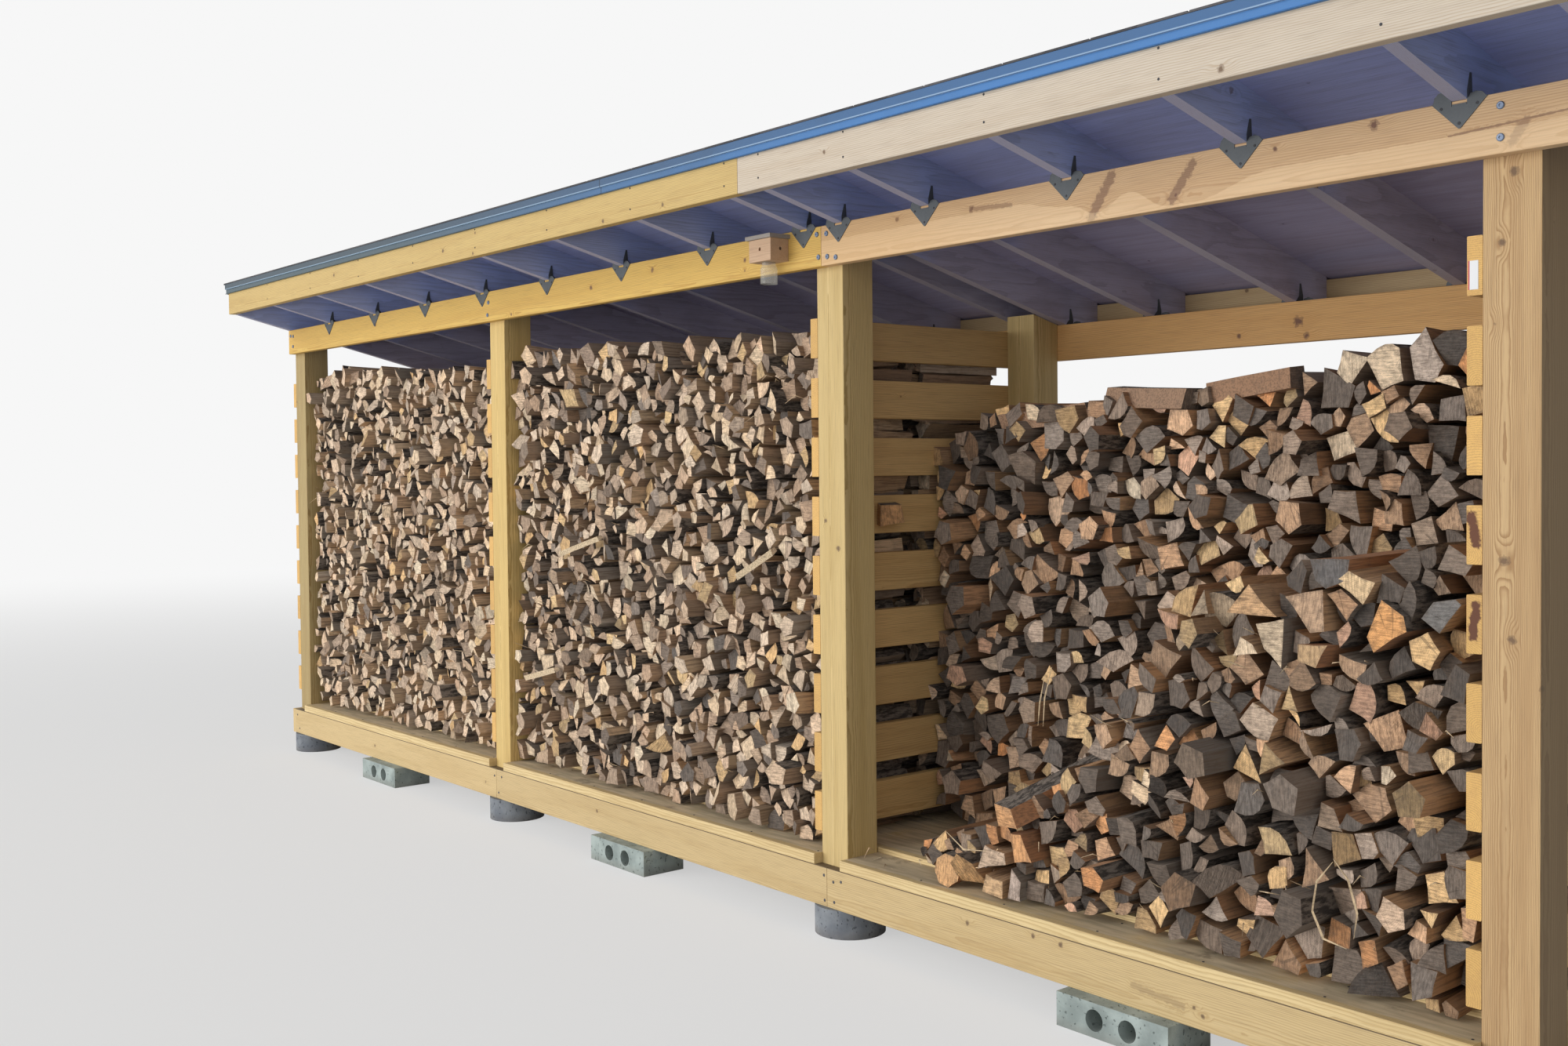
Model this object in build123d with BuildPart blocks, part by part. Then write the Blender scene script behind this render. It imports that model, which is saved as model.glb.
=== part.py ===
from build123d import *
from random import Random
import os

# Open timber log store on concrete piers, with a roof that falls to the back.
# Millimetres. X runs along the front, Y from front to back, Z up from the ground.
# The origin is at the middle of the outline, on the ground.

# Timber sections
board_thickness = 38
board_width = 140
post_size = 140
edge_radius = 3

# Plan
bays = 3
bay_pitch = 2438
wall_depth = 1120
beam_run_on = 230
front_overhang = 347
rear_overhang = 190
rake_overhang = 25
joint_gap = 2

# Heights
footing_height = 102
clear_height = 2080
floor_step = 18
roof_rise = 3
roof_run = 12

# Footings
pier_diameter = 254
block_length = 406
block_depth = 194
block_reach = 52
block_core_radius = 32
block_core_shift = 60
block_shifts = [0, -80, 100]

# Floor
front_board_width = 184
joists_per_bay = 5
floor_clearance = 0.5

# Slatted walls
slat_count = 9
first_slat_gap = 75
last_slat_gap = 174

# Rafters and roof
rafter_pitch = 609.6
first_right_rafter = 525
joint_rafter_offset = 95
right_rafter_pitch = 602
fascia_joint_offset = 20
deck_thickness = 16
covering_thickness = 7
covering_overhang = 16
covering_side_lap = 8
drip_step = 12
drip_lower_step = 5
drip_band = 26
drip_hem = 5
rake_drip_height = 52
rake_drip_thickness = 3

# Rafter ties
tie_thickness = 2.5
tie_width = 138
tie_drop = 66
tie_tip = 5
tie_spike = 62
tie_spike_width = 6
tie_shoulder = 20
tie_slot_clearance = 2

# Bee trap box
trap_width = 126
trap_depth = 82
trap_height = 80
trap_from_joint = 182
trap_below_top = 24
trap_lid_thickness = 14
trap_lid_lap = 10
jar_diameter = 62
jar_height = 78
jar_neck_diameter = 50
jar_neck_height = 12

# Blank tag on the end of the top slat of the last wall
tag_width = 25
tag_height = 68
tag_thickness = 1
tag_drop = 58

# Firewood: places along each bay from its post's left face, with drops below the front beam,
# and for the drawn-down front row of the last bay, heights above the floor
front_row_setback = 55
row_gap = 107
stack_clearance = 6
first_bay_drops = [(0, 172), (400, 142), (800, 156), (1200, 190), (1600, 196), (2400, 234)]
second_bay_drops = [(0, 182), (400, 194), (800, 178), (1200, 212), (1600, 226), (2400, 240)]
third_bay_drops = [(0, 662), (240, 546), (330, 522), (1000, 504), (1430, 482), (1670, 452),
                   (1820, 397), (2120, 372), (2400, 317)]
third_bay_heights = [(474, 80), (830, 190), (1140, 420), (1290, 650), (1450, 760), (1510, 975),
                     (1700, 1016), (2000, 1060), (2240, 1125), (2400, 1120)]

# Logs that stand proud of the rows' faces, about one to each square of this pitch, with
# their least and greatest reach and half width
proud_pitch = 334
proud_scatter = 0.24
proud_reaches = [(30, 72), (30, 72), (40, 105)]
proud_half_widths = [(36, 54), (36, 54), (46, 68)]
proud_corners = 5
proud_flattening = 0.72

corner = (Align.MIN, Align.MIN, Align.MIN)
on_floor = (Align.CENTER, Align.CENTER, Align.MIN)

# Levels
z_rim_bottom = footing_height
z_rim_top = z_rim_bottom + board_width
z_deck = z_rim_top + board_thickness
z_floor = z_deck + floor_step
z_beam_bottom = z_deck + clear_height
z_beam_top = z_beam_bottom + board_width

# Places along the front
post_run = bays * bay_pitch
beam_length = post_run + post_size + beam_run_on
side_reach = rake_overhang + covering_side_lap
pier_reach = (pier_diameter - post_size) / 2
x_left_reach = max(board_thickness, side_reach, pier_reach)
overall_length = x_left_reach + beam_length + side_reach
x_first_post = x_left_reach - overall_length / 2
post_lefts = [x_first_post + bay_pitch * number for number in range(bays + 1)]
x_last_face = post_lefts[-1] + post_size
x_beam_end = x_first_post + beam_length
x_joint = post_lefts[2] + post_size / 2

# Places from front to back
roof_depth = (2 * covering_overhang + front_overhang + rear_overhang
              + wall_depth + 2 * board_thickness)
y_roof_front = -roof_depth / 2
y_fascia_front = y_roof_front + covering_overhang
y_beam_front = y_fascia_front + front_overhang
y_post_front = y_beam_front + board_thickness
y_wall_back = y_post_front + wall_depth
y_back_post = y_wall_back - post_size
y_beam_back = y_wall_back + board_thickness
y_fascia_back = y_beam_back + rear_overhang
y_roof_back = y_fascia_back + covering_overhang
y_rafter_front = y_fascia_front + board_thickness
y_rafter_back = y_fascia_back - board_thickness

# The roof's fall, and the upright height of a sloping board from its real thickness
roof_pitch = roof_rise / roof_run
slope_factor = (1 + roof_pitch ** 2) ** 0.5
rafter_height = board_width * slope_factor
deck_height = deck_thickness * slope_factor
covering_height = covering_thickness * slope_factor


def underside(y):
    """Height of the rafters' lower edge at a place from front to back."""
    return z_beam_top - roof_pitch * (y - y_beam_front)


def deck_underside(y):
    return underside(y) + rafter_height


def covering_underside(y):
    return deck_underside(y) + deck_height


z_back_beam_top = underside(y_wall_back)
z_back_beam_bottom = z_back_beam_top - board_width


def save(builder, name):
    builder.part.label = name
    export_step(builder.part, f"parts/{name}.step")


def board_along_x(x_start, x_end, y, z):
    """A board on edge along the front, with its long edges eased."""
    with Locations((x_start, y, z)):
        board = Box(x_end - x_start, board_thickness, board_width, align=corner)
    fillet(board.edges().filter_by(Axis.X), edge_radius)


def board_along_y(x, y_start, y_end, z):
    """A board on edge from front to back, with its long edges eased."""
    with Locations((x, y_start, z)):
        board = Box(board_thickness, y_end - y_start, board_width, align=corner)
    fillet(board.edges().filter_by(Axis.Y), edge_radius)


def profile_along_x(points, x, length):
    """A closed outline in Y and Z, given its length along the front."""
    with BuildSketch(Plane.YZ.offset(x)) as outline:
        with BuildLine():
            Polyline(*points, close=True)
        make_face()
    extrude(outline.sketch, amount=length)


os.makedirs("parts", exist_ok=True)

# Round concrete piers under the posts
with BuildPart() as piers:
    for x in post_lefts:
        for y in (y_post_front + post_size / 2, y_wall_back - post_size / 2):
            with Locations((x + post_size / 2, y, 0)):
                Cylinder(pier_diameter / 2, footing_height, align=on_floor)
save(piers, "piers")

# Concrete blocks under the rims, near the middles of the bays, each with two round cores
with BuildPart() as footing_blocks:
    for x, shift in zip(post_lefts, block_shifts):
        x_middle = x + (bay_pitch + post_size) / 2 + shift
        for y in (y_beam_front - block_reach, y_beam_back + block_reach - block_depth):
            with Locations((x_middle - block_length / 2, y, 0)):
                Box(block_length, block_depth, footing_height, align=corner)
            for x_core in (x_middle - block_core_shift, x_middle + block_core_shift):
                with Locations((x_core, y + block_depth / 2, footing_height / 2)):
                    Cylinder(block_core_radius, block_depth, rotation=(90, 0, 0),
                             mode=Mode.SUBTRACT)
save(footing_blocks, "footing_blocks")

# Rims: three lengths each, butted on the inner posts
rim_joints = [x + post_size / 2 for x in post_lefts[1:-1]]
rim_starts = [x_first_post] + [x + joint_gap / 2 for x in rim_joints]
rim_ends = [x - joint_gap / 2 for x in rim_joints] + [x_last_face]
for name, y in (("front_rim", y_beam_front), ("back_rim", y_wall_back)):
    with BuildPart() as rim:
        for x_start, x_end in zip(rim_starts, rim_ends):
            board_along_x(x_start, x_end, y, z_rim_bottom)
    save(rim, name)

# End joists outside the first and last posts
with BuildPart() as end_joists:
    for x in (x_first_post - board_thickness, x_last_face):
        board_along_y(x, y_beam_front, y_beam_back, z_rim_bottom)
save(end_joists, "end_joists")

# Floor joists between the rims, clear of the posts, and one under each inner slatted wall
with BuildPart() as floor_joists:
    clear_bay = bay_pitch - post_size - board_thickness
    joist_step = clear_bay / (joists_per_bay + 1)
    for x in post_lefts[:-1]:
        for number in range(1, joists_per_bay + 1):
            x_joist = x + post_size + joist_step * number - board_thickness / 2
            with Locations((x_joist, y_post_front, z_rim_bottom)):
                Box(board_thickness, wall_depth, board_width, align=corner)
    for x in post_lefts[1:]:
        with Locations((x - board_thickness, y_post_front, z_rim_bottom)):
            Box(board_thickness, wall_depth, board_width, align=corner)
save(floor_joists, "floor_joists")

# Thick front boards, one in each bay, between the posts and over the front rim
with BuildPart() as front_deck_boards:
    for x in post_lefts[:-1]:
        with Locations((x + post_size, y_beam_front, z_rim_top)):
            front_board = Box(bay_pitch - post_size, front_board_width, board_thickness,
                              align=corner)
        fillet(front_board.edges().filter_by(Axis.X), edge_radius)
save(front_deck_boards, "front_deck_boards")

# Inner floor, a step above the front boards, notched round the posts
y_floor_front = y_beam_front + front_board_width
for number, x in enumerate(post_lefts[:-1], start=1):
    with BuildPart() as floor_panel:
        with Locations((x, y_floor_front, z_rim_top)):
            Box(bay_pitch, y_beam_back - y_floor_front, z_floor - z_rim_top, align=corner)
        for x_post in (x, x + bay_pitch):
            with Locations((x_post - floor_clearance, y_back_post - floor_clearance, z_rim_top)):
                Box(post_size + 2 * floor_clearance, post_size + board_thickness + floor_clearance,
                    z_floor - z_rim_top, align=corner, mode=Mode.SUBTRACT)
    save(floor_panel, f"floor_panel_{number}")

# Front and back posts
for number, x in enumerate(post_lefts, start=1):
    with BuildPart() as front_post:
        profile_along_x([(y_post_front, z_rim_bottom),
                         (y_post_front + post_size, z_rim_bottom),
                         (y_post_front + post_size, underside(y_post_front + post_size)),
                         (y_post_front, underside(y_post_front))], x, post_size)
        fillet(front_post.edges().filter_by(Axis.Z), edge_radius)
    save(front_post, f"front_post_{number}")
    with BuildPart() as back_post:
        profile_along_x([(y_back_post, z_rim_bottom), (y_wall_back, z_rim_bottom),
                         (y_wall_back, underside(y_wall_back)),
                         (y_back_post, underside(y_back_post))], x, post_size)
        fillet(back_post.edges().filter_by(Axis.Z), edge_radius)
    save(back_post, f"back_post_{number}")

# Slatted walls on the left faces of the posts, evenly spaced under the front beam
slat_room = clear_height - first_slat_gap - last_slat_gap - board_width
slat_pitch = slat_room / (slat_count - 1)
for number, x in enumerate(post_lefts, start=1):
    with BuildPart() as slat_wall:
        for course in range(slat_count):
            board_along_y(x - board_thickness, y_post_front, y_wall_back,
                          z_deck + first_slat_gap + slat_pitch * course)
    save(slat_wall, f"slat_wall_{number}")

# Beams on the outer faces of the posts, butted on the third post
for name, y, z in (("front_beam", y_beam_front, z_beam_bottom),
                   ("back_beam", y_wall_back, z_back_beam_bottom)):
    with BuildPart() as left_beam:
        board_along_x(x_first_post, x_joint - joint_gap / 2, y, z)
    save(left_beam, name + "_left")
    with BuildPart() as right_beam:
        board_along_x(x_joint + joint_gap / 2, x_beam_end, y, z)
    save(right_beam, name + "_right")

# Slot in each tie's plate that clears the rafter's sloping lower edge
tie_slot = roof_pitch * (board_thickness + tie_thickness) + tie_slot_clearance

# Rafters: notched over both beams
left_count = int((x_joint - joint_rafter_offset - rafter_pitch / 2 - x_first_post) // rafter_pitch)
rafter_centres = [x_first_post + rafter_pitch * number for number in range(1, left_count + 1)]
rafter_centres += [x_joint - joint_rafter_offset, x_joint + joint_rafter_offset]
right_room = x_beam_end - board_thickness * 2 - x_joint - first_right_rafter
right_count = int(right_room // right_rafter_pitch) + 1
rafter_centres += [x_joint + first_right_rafter + right_rafter_pitch * number
                   for number in range(right_count)]
rafter_outline = [(y_rafter_front, underside(y_rafter_front)),
                  (y_beam_front, z_beam_top),
                  (y_post_front, z_beam_top),
                  (y_post_front, underside(y_post_front)),
                  (y_wall_back, z_back_beam_top),
                  (y_beam_back, z_back_beam_top),
                  (y_beam_back, underside(y_beam_back)),
                  (y_rafter_back, underside(y_rafter_back)),
                  (y_rafter_back, deck_underside(y_rafter_back)),
                  (y_rafter_front, deck_underside(y_rafter_front))]
with BuildPart() as rafters:
    for x in rafter_centres:
        profile_along_x(rafter_outline, x - board_thickness / 2, board_thickness)
save(rafters, "rafters")

# End rafters, flush with the ends of the beams
with BuildPart() as end_rafters:
    for x in (x_first_post, x_beam_end - board_thickness):
        profile_along_x(rafter_outline, x, board_thickness)
save(end_rafters, "end_rafters")


def rafter_tie(x, y_face, outward, z_top):
    """A steel plate on the beam's face with a folded spike on each side of the rafter."""
    with BuildSketch(Plane.XZ.offset(-y_face)) as plate:
        with BuildLine():
            Polyline((x - tie_width / 2, z_top), (x - board_thickness / 2, z_top),
                     (x - board_thickness / 2, z_top - tie_slot),
                     (x + board_thickness / 2, z_top - tie_slot),
                     (x + board_thickness / 2, z_top), (x + tie_width / 2, z_top),
                     (x + tie_tip / 2, z_top - tie_drop), (x - tie_tip / 2, z_top - tie_drop),
                     close=True)
        make_face()
    extrude(plate.sketch, amount=-outward * tie_thickness)
    y_outer = y_face + outward * tie_thickness
    y_inner = y_face - outward * board_thickness
    y_spike = y_face - outward * board_thickness / 3
    spike_outline = [(y_outer, z_top - tie_shoulder / 2),
                     (y_face, z_top - tie_shoulder / 2),
                     (y_face, z_top),
                     (y_inner, z_top),
                     (y_spike - outward * tie_spike_width, z_top + tie_shoulder),
                     (y_spike - outward * tie_spike_width / 2, z_top + tie_spike),
                     (y_spike + outward * tie_spike_width / 2, z_top + tie_spike),
                     (y_outer, z_top + tie_shoulder)]
    for x_side in (x - board_thickness / 2 - tie_thickness, x + board_thickness / 2):
        profile_along_x(spike_outline, x_side, tie_thickness)


# Steel ties, on the front face of the front beam and the rear face of the back beam
with BuildPart() as rafter_ties_front:
    for x in rafter_centres:
        rafter_tie(x, y_beam_front, -1, z_beam_top)
save(rafter_ties_front, "rafter_ties_front")
with BuildPart() as rafter_ties_back:
    for x in rafter_centres:
        rafter_tie(x, y_beam_back, 1, z_back_beam_top)
save(rafter_ties_back, "rafter_ties_back")

# Fascia boards on the rafters' ends
x_fascia_joint = x_joint - fascia_joint_offset
z_front_fascia = underside(y_rafter_front)
with BuildPart() as front_fascia_left:
    board_along_x(x_first_post, x_fascia_joint - joint_gap / 2, y_fascia_front, z_front_fascia)
save(front_fascia_left, "front_fascia_left")
with BuildPart() as front_fascia_right:
    board_along_x(x_fascia_joint + joint_gap / 2, x_beam_end, y_fascia_front, z_front_fascia)
save(front_fascia_right, "front_fascia_right")
z_rear_fascia = deck_underside(y_fascia_back) - board_width
with BuildPart() as rear_fascia:
    board_along_x(x_first_post, x_fascia_joint - joint_gap / 2, y_rafter_back, z_rear_fascia)
    board_along_x(x_fascia_joint + joint_gap / 2, x_beam_end, y_rafter_back, z_rear_fascia)
save(rear_fascia, "rear_fascia")

# Roof boarding, and the covering over it
x_deck_left = x_first_post - rake_overhang
x_deck_right = x_beam_end + rake_overhang
with BuildPart() as roof_deck:
    profile_along_x([(y_fascia_front, deck_underside(y_fascia_front)),
                     (y_fascia_back, deck_underside(y_fascia_back)),
                     (y_fascia_back, covering_underside(y_fascia_back)),
                     (y_fascia_front, covering_underside(y_fascia_front))],
                    x_deck_left, x_deck_right - x_deck_left)
save(roof_deck, "roof_deck")
with BuildPart() as roof_covering:
    profile_along_x([(y_roof_front, covering_underside(y_roof_front)),
                     (y_roof_back, covering_underside(y_roof_back)),
                     (y_roof_back, covering_underside(y_roof_back) + covering_height),
                     (y_roof_front, covering_underside(y_roof_front) + covering_height)],
                    x_deck_left - covering_side_lap,
                    x_deck_right - x_deck_left + 2 * covering_side_lap)
save(roof_covering, "roof_covering")


def eaves_drip(y_face, outward):
    """A two-step metal edge against the roof boarding and the top of the fascia."""
    z_face = covering_underside(y_face)
    y_upper = y_face + outward * drip_step
    y_lower = y_face + outward * drip_lower_step
    z_step = z_face - drip_band
    z_bottom = z_step - drip_band
    profile_along_x([(y_face, z_face), (y_upper, covering_underside(y_upper)),
                     (y_upper, z_step), (y_lower, z_step), (y_lower, z_bottom + drip_hem),
                     (y_upper, z_bottom), (y_face, z_bottom)],
                    x_deck_left - rake_drip_thickness,
                    x_deck_right - x_deck_left + 2 * rake_drip_thickness)


with BuildPart() as front_drip_edge:
    eaves_drip(y_fascia_front, -1)
save(front_drip_edge, "front_drip_edge")
with BuildPart() as rear_drip_edge:
    eaves_drip(y_fascia_back, 1)
save(rear_drip_edge, "rear_drip_edge")

# Metal edges down the two sloping sides
with BuildPart() as rake_drip_edges:
    for x in (x_deck_left - rake_drip_thickness, x_deck_right):
        profile_along_x([(y_fascia_front, covering_underside(y_fascia_front) - rake_drip_height),
                         (y_fascia_back, covering_underside(y_fascia_back) - rake_drip_height),
                         (y_fascia_back, covering_underside(y_fascia_back)),
                         (y_fascia_front, covering_underside(y_fascia_front))],
                        x, rake_drip_thickness)
save(rake_drip_edges, "rake_drip_edges")

# Bee trap on the front beam: a wooden box, its lid, and a clear jar below
x_trap = x_joint - trap_from_joint - trap_width
y_trap = y_beam_front - trap_depth
z_trap_top = z_beam_top - trap_below_top
z_trap = z_trap_top - trap_height
with BuildPart() as bee_trap_box:
    with Locations((x_trap, y_trap, z_trap)):
        Box(trap_width, trap_depth, trap_height, align=corner)
save(bee_trap_box, "bee_trap_box")
with BuildPart() as bee_trap_lid:
    with Locations((x_trap - trap_lid_lap, y_trap - trap_lid_lap, z_trap_top)):
        Box(trap_width + 2 * trap_lid_lap, trap_depth + trap_lid_lap, trap_lid_thickness,
            align=corner)
save(bee_trap_lid, "bee_trap_lid")
with BuildPart() as bee_trap_jar:
    with BuildSketch(Plane.XZ):
        with BuildLine():
            Polyline((0, 0), (jar_neck_diameter / 2, 0), (jar_neck_diameter / 2, -jar_neck_height),
                     (jar_diameter / 2, -2 * jar_neck_height), (jar_diameter / 2, -jar_height),
                     (0, -jar_height), close=True)
        make_face()
    revolve(axis=Axis.Z)
bee_trap_jar.part.position = (x_trap + trap_width / 2, y_trap + trap_depth / 2, z_trap)
save(bee_trap_jar, "bee_trap_jar")

# Blank tag on the front end of the last wall's top slat
z_top_slat = z_deck + first_slat_gap + slat_pitch * (slat_count - 1) + board_width
with BuildPart() as slat_tag:
    with Locations((post_lefts[-1] - board_thickness + edge_radius,
                    y_post_front - tag_thickness, z_top_slat - tag_drop - tag_height)):
        Box(tag_width, tag_thickness, tag_height, align=corner)
save(slat_tag, "slat_tag")


def stack_row(tops, x_post, x_start, x_end, y_front):
    """One row of stacked logs: its outline is seen from the front, its depth is a log."""
    with BuildSketch(Plane.XZ.offset(-y_front)) as outline:
        with BuildLine():
            Polyline((x_post + tops[0][0], z_floor),
                     *[(x_post + place, z_top) for place, z_top in tops],
                     (x_post + tops[-1][0], z_floor), close=True)
        make_face()
        with Locations(((x_start + x_end) / 2, z_beam_top / 2)):
            Rectangle(x_end - x_start, z_beam_top, mode=Mode.INTERSECT)
    extrude(outline.sketch, amount=-log_length)


def row_top(tops, place):
    """Height of a row's top at a place along its bay."""
    for (first, z_first), (last, z_last) in zip(tops, tops[1:]):
        if first <= place <= last:
            return z_first + (z_last - z_first) * (place - first) / (last - first)
    return z_floor


def proud_logs(tops, x_post, x_start, x_end, y_face, outward, bay, dice, screen=()):
    """Logs of a row that stand out of its face, strewn evenly over it, clear of a lower row
    in front with the tops in screen."""
    columns = round((x_end - x_start) / proud_pitch)
    courses = round((z_beam_bottom - z_floor) / proud_pitch)
    step = (x_end - x_start) / columns
    for column in range(columns):
        for course in range(courses):
            x = x_start + (column + 0.5 + dice.uniform(-proud_scatter, proud_scatter)) * step
            z = z_floor + (course + 0.5 + dice.uniform(-proud_scatter, proud_scatter)) * proud_pitch
            reach = dice.uniform(*proud_reaches[bay])
            half_width = dice.uniform(*proud_half_widths[bay])
            turn = dice.uniform(0, 360)
            radii = [half_width * dice.uniform(proud_flattening, 1) for _ in range(proud_corners)]
            sides = [x - x_post - half_width, x - x_post + half_width]
            z_top = min(row_top(tops, side) for side in sides)
            z_low = max(row_top(screen, side) for side in sides)
            if z_low < z - half_width and z + half_width < z_top:
                corners = [Vector(radius, 0).rotate(Axis.Z, turn + 360 * number / proud_corners)
                           for number, radius in enumerate(radii)]
                with BuildSketch(Plane.XZ.offset(-y_face)) as log_end:
                    with Locations((x, z)):
                        Polygon(*corners, align=None)
                extrude(log_end.sketch, amount=reach * outward)


# Firewood: two rows of logs in each bay, their ends to the front and the back.
# In the last bay the front row has been drawn on, and slopes down to the floor.
log_length = (y_back_post - stack_clearance - row_gap - front_row_setback - y_post_front) / 2
y_front_row = y_post_front + front_row_setback
y_back_row = y_front_row + log_length + row_gap
back_tops = [[(place, z_beam_bottom - drop) for place, drop in drops]
             for drops in (first_bay_drops, second_bay_drops, third_bay_drops)]
front_tops = back_tops[:-1] + [[(place, z_floor + height) for place, height in third_bay_heights]]
for number, x in enumerate(post_lefts[:-1], start=1):
    x_end = x + bay_pitch - board_thickness - stack_clearance
    x_front = x + post_size + stack_clearance
    x_back = x + stack_clearance
    y_rear = y_back_row + log_length
    front, back = front_tops[number - 1], back_tops[number - 1]
    with BuildPart() as rows:
        stack_row(front, x, x_front, x_end, y_front_row)
        stack_row(back, x, x_back, x_end, y_back_row)
    with BuildPart() as ends:
        proud_logs(front, x, x_front, x_end, y_front_row, 1, number - 1, Random(10 * number + 1))
        proud_logs(back, x, x_front, x_end, y_rear, -1, number - 1, Random(10 * number + 2))
        if number == bays:
            proud_logs(back, x, x_back, x_end, y_back_row, 1, number - 1,
                       Random(10 * number + 3), front)
    firewood = Compound(label=f"firewood_stack_{number}",
                        children=[*rows.part.solids(), *ends.part.solids()])
    export_step(firewood, f"parts/firewood_stack_{number}.step")
    print(f"firewood_stack_{number}: {len(ends.part.solids())} proud logs")
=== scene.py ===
import math
import random

import bpy
import numpy as np
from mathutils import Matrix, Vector


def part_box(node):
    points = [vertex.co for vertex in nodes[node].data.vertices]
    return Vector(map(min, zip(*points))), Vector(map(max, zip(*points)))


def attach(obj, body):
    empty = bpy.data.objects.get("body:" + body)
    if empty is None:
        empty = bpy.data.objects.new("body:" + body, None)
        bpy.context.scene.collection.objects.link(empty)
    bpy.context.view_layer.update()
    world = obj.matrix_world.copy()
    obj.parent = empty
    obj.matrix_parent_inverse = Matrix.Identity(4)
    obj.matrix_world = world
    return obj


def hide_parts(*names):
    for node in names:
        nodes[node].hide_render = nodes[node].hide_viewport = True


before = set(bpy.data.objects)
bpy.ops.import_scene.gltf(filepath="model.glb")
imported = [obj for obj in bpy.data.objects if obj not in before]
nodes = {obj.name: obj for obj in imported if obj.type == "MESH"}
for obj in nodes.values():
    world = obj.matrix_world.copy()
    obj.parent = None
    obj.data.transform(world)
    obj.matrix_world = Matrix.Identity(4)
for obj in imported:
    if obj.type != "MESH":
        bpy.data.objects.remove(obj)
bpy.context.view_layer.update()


# Concrete piers and blocks: cast round piers under the posts, and cored blocks set by
# hand near the middle of each bay. Both are rough, dusty and stained near the ground.
def operation(kind, turned=False):
    """A method that makes a Math node of this kind from a value and another term."""
    def made(self, other=None):
        terms = [self] if other is None else [other, self] if turned else [self, other]
        return self.tree.node("Math", {"operation": kind}, dict(enumerate(terms)))
    return made


class Value:
    """A shader socket that takes part in sums."""

    def __init__(self, tree, socket):
        self.tree = tree
        self.socket = socket

    __add__ = __radd__ = operation("ADD")
    __mul__ = __rmul__ = operation("MULTIPLY")
    __sub__ = operation("SUBTRACT")
    __rsub__ = operation("SUBTRACT", turned=True)
    __truediv__ = operation("DIVIDE")
    __pow__ = operation("POWER")
    __gt__ = operation("GREATER_THAN")
    __lt__ = operation("LESS_THAN")
    floor = operation("FLOOR")
    fraction = operation("FRACT")
    absolute = operation("ABSOLUTE")
    most = operation("MAXIMUM")

    def split(self):
        """The three parts of a vector or a colour."""
        return [self.tree.node("SeparateXYZ", {}, {0: self}, out=part) for part in range(3)]


class Tree:
    """The nodes of a material or of the world."""

    def __init__(self, tree):
        self.tree = tree

    def node(self, kind, settings, values, out=0):
        made = self.tree.nodes.new("ShaderNode" + kind)
        for key, value in settings.items():
            setattr(made, key, value)
        for key, value in values.items():
            if isinstance(value, Value):
                self.tree.links.new(value.socket, made.inputs[key])
            else:
                made.inputs[key].default_value = value
        return Value(self, made.outputs[out])

    def place(self):
        return self.node("TexCoord", {}, {}, out="Object")

    def facing(self, axis):
        """How far a face looks along an axis."""
        return self.node("NewGeometry", {}, {}, out="Normal").split()[axis]

    def vector(self, x, y, z):
        return self.node("CombineXYZ", {}, {0: x, 1: y, 2: z})

    def vectors(self, kind, first, second, out="Vector"):
        return self.node("VectorMath", {"operation": kind}, {0: first, 1: second}, out=out)

    def stretched(self, vector, factors):
        return self.vectors("MULTIPLY", vector, factors)

    def scaled(self, vector, factor):
        return self.node("VectorMath", {"operation": "SCALE"}, {0: vector, "Scale": factor})

    def length(self, vector):
        return self.node("VectorMath", {"operation": "LENGTH"}, {0: vector}, out="Value")

    def from_line(self, vector, first, last):
        """Distance from the straight line between two points."""
        way = Vector(last) - Vector(first)
        away = self.vectors("SUBTRACT", vector, first)
        share = self.vectors("DOT_PRODUCT", away, way / way.length_squared, out="Value")
        foot = self.scaled(way, self.node("Clamp", {}, {"Value": share}))
        return self.vectors("DISTANCE", away, foot, out="Value")

    def noise(self, vector, scale, detail=3.0, roughness=0.55, out="Fac"):
        return self.node("TexNoise", {}, {"Vector": vector, "Scale": scale, "Detail": detail,
                                          "Roughness": roughness}, out=out)

    def random(self, vector):
        return self.node("TexWhiteNoise", {}, {"Vector": vector}, out="Color")

    def step(self, value, low, high):
        """0 at low and 1 at high, smoothly between them."""
        return self.node("MapRange", {"interpolation_type": "SMOOTHSTEP"},
                         {"Value": value, "From Min": low, "From Max": high})

    def mix(self, share, first, second, blend="MIX"):
        return self.node("Mix", {"data_type": "RGBA", "blend_type": blend},
                         {0: share, 6: first if isinstance(first, Value) else (*first, 1),
                          7: second if isinstance(second, Value) else (*second, 1)}, out=2)


class Surface(Tree):
    """One procedural finish, with a Principled shader at its end."""

    def __init__(self, name):
        self.material = bpy.data.materials.new(name)
        self.material.use_nodes = True
        super().__init__(self.material.node_tree)
        self.tree.nodes.clear()
        self.shader = self.tree.nodes.new("ShaderNodeBsdfPrincipled")
        self.end = self.tree.nodes.new("ShaderNodeOutputMaterial")
        self.tree.links.new(self.shader.outputs[0], self.end.inputs[0])

    def feed(self, name, value):
        """A socket of the shader takes a constant or a link."""
        if isinstance(value, Value):
            self.tree.links.new(value.socket, self.shader.inputs[name])
        else:
            self.shader.inputs[name].default_value = value

    def colour(self, value):
        self.feed("Base Color", value)

    def rough(self, value):
        self.feed("Roughness", value)

    def bump(self, height, distance):
        self.feed("Normal", self.node("Bump", {}, {"Height": height, "Distance": distance},
                                      out="Normal"))


def dress(names, surface):
    """The named CAD nodes take this finish."""
    for name in names:
        for slot in nodes[name].material_slots:
            slot.material = surface.material


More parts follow.
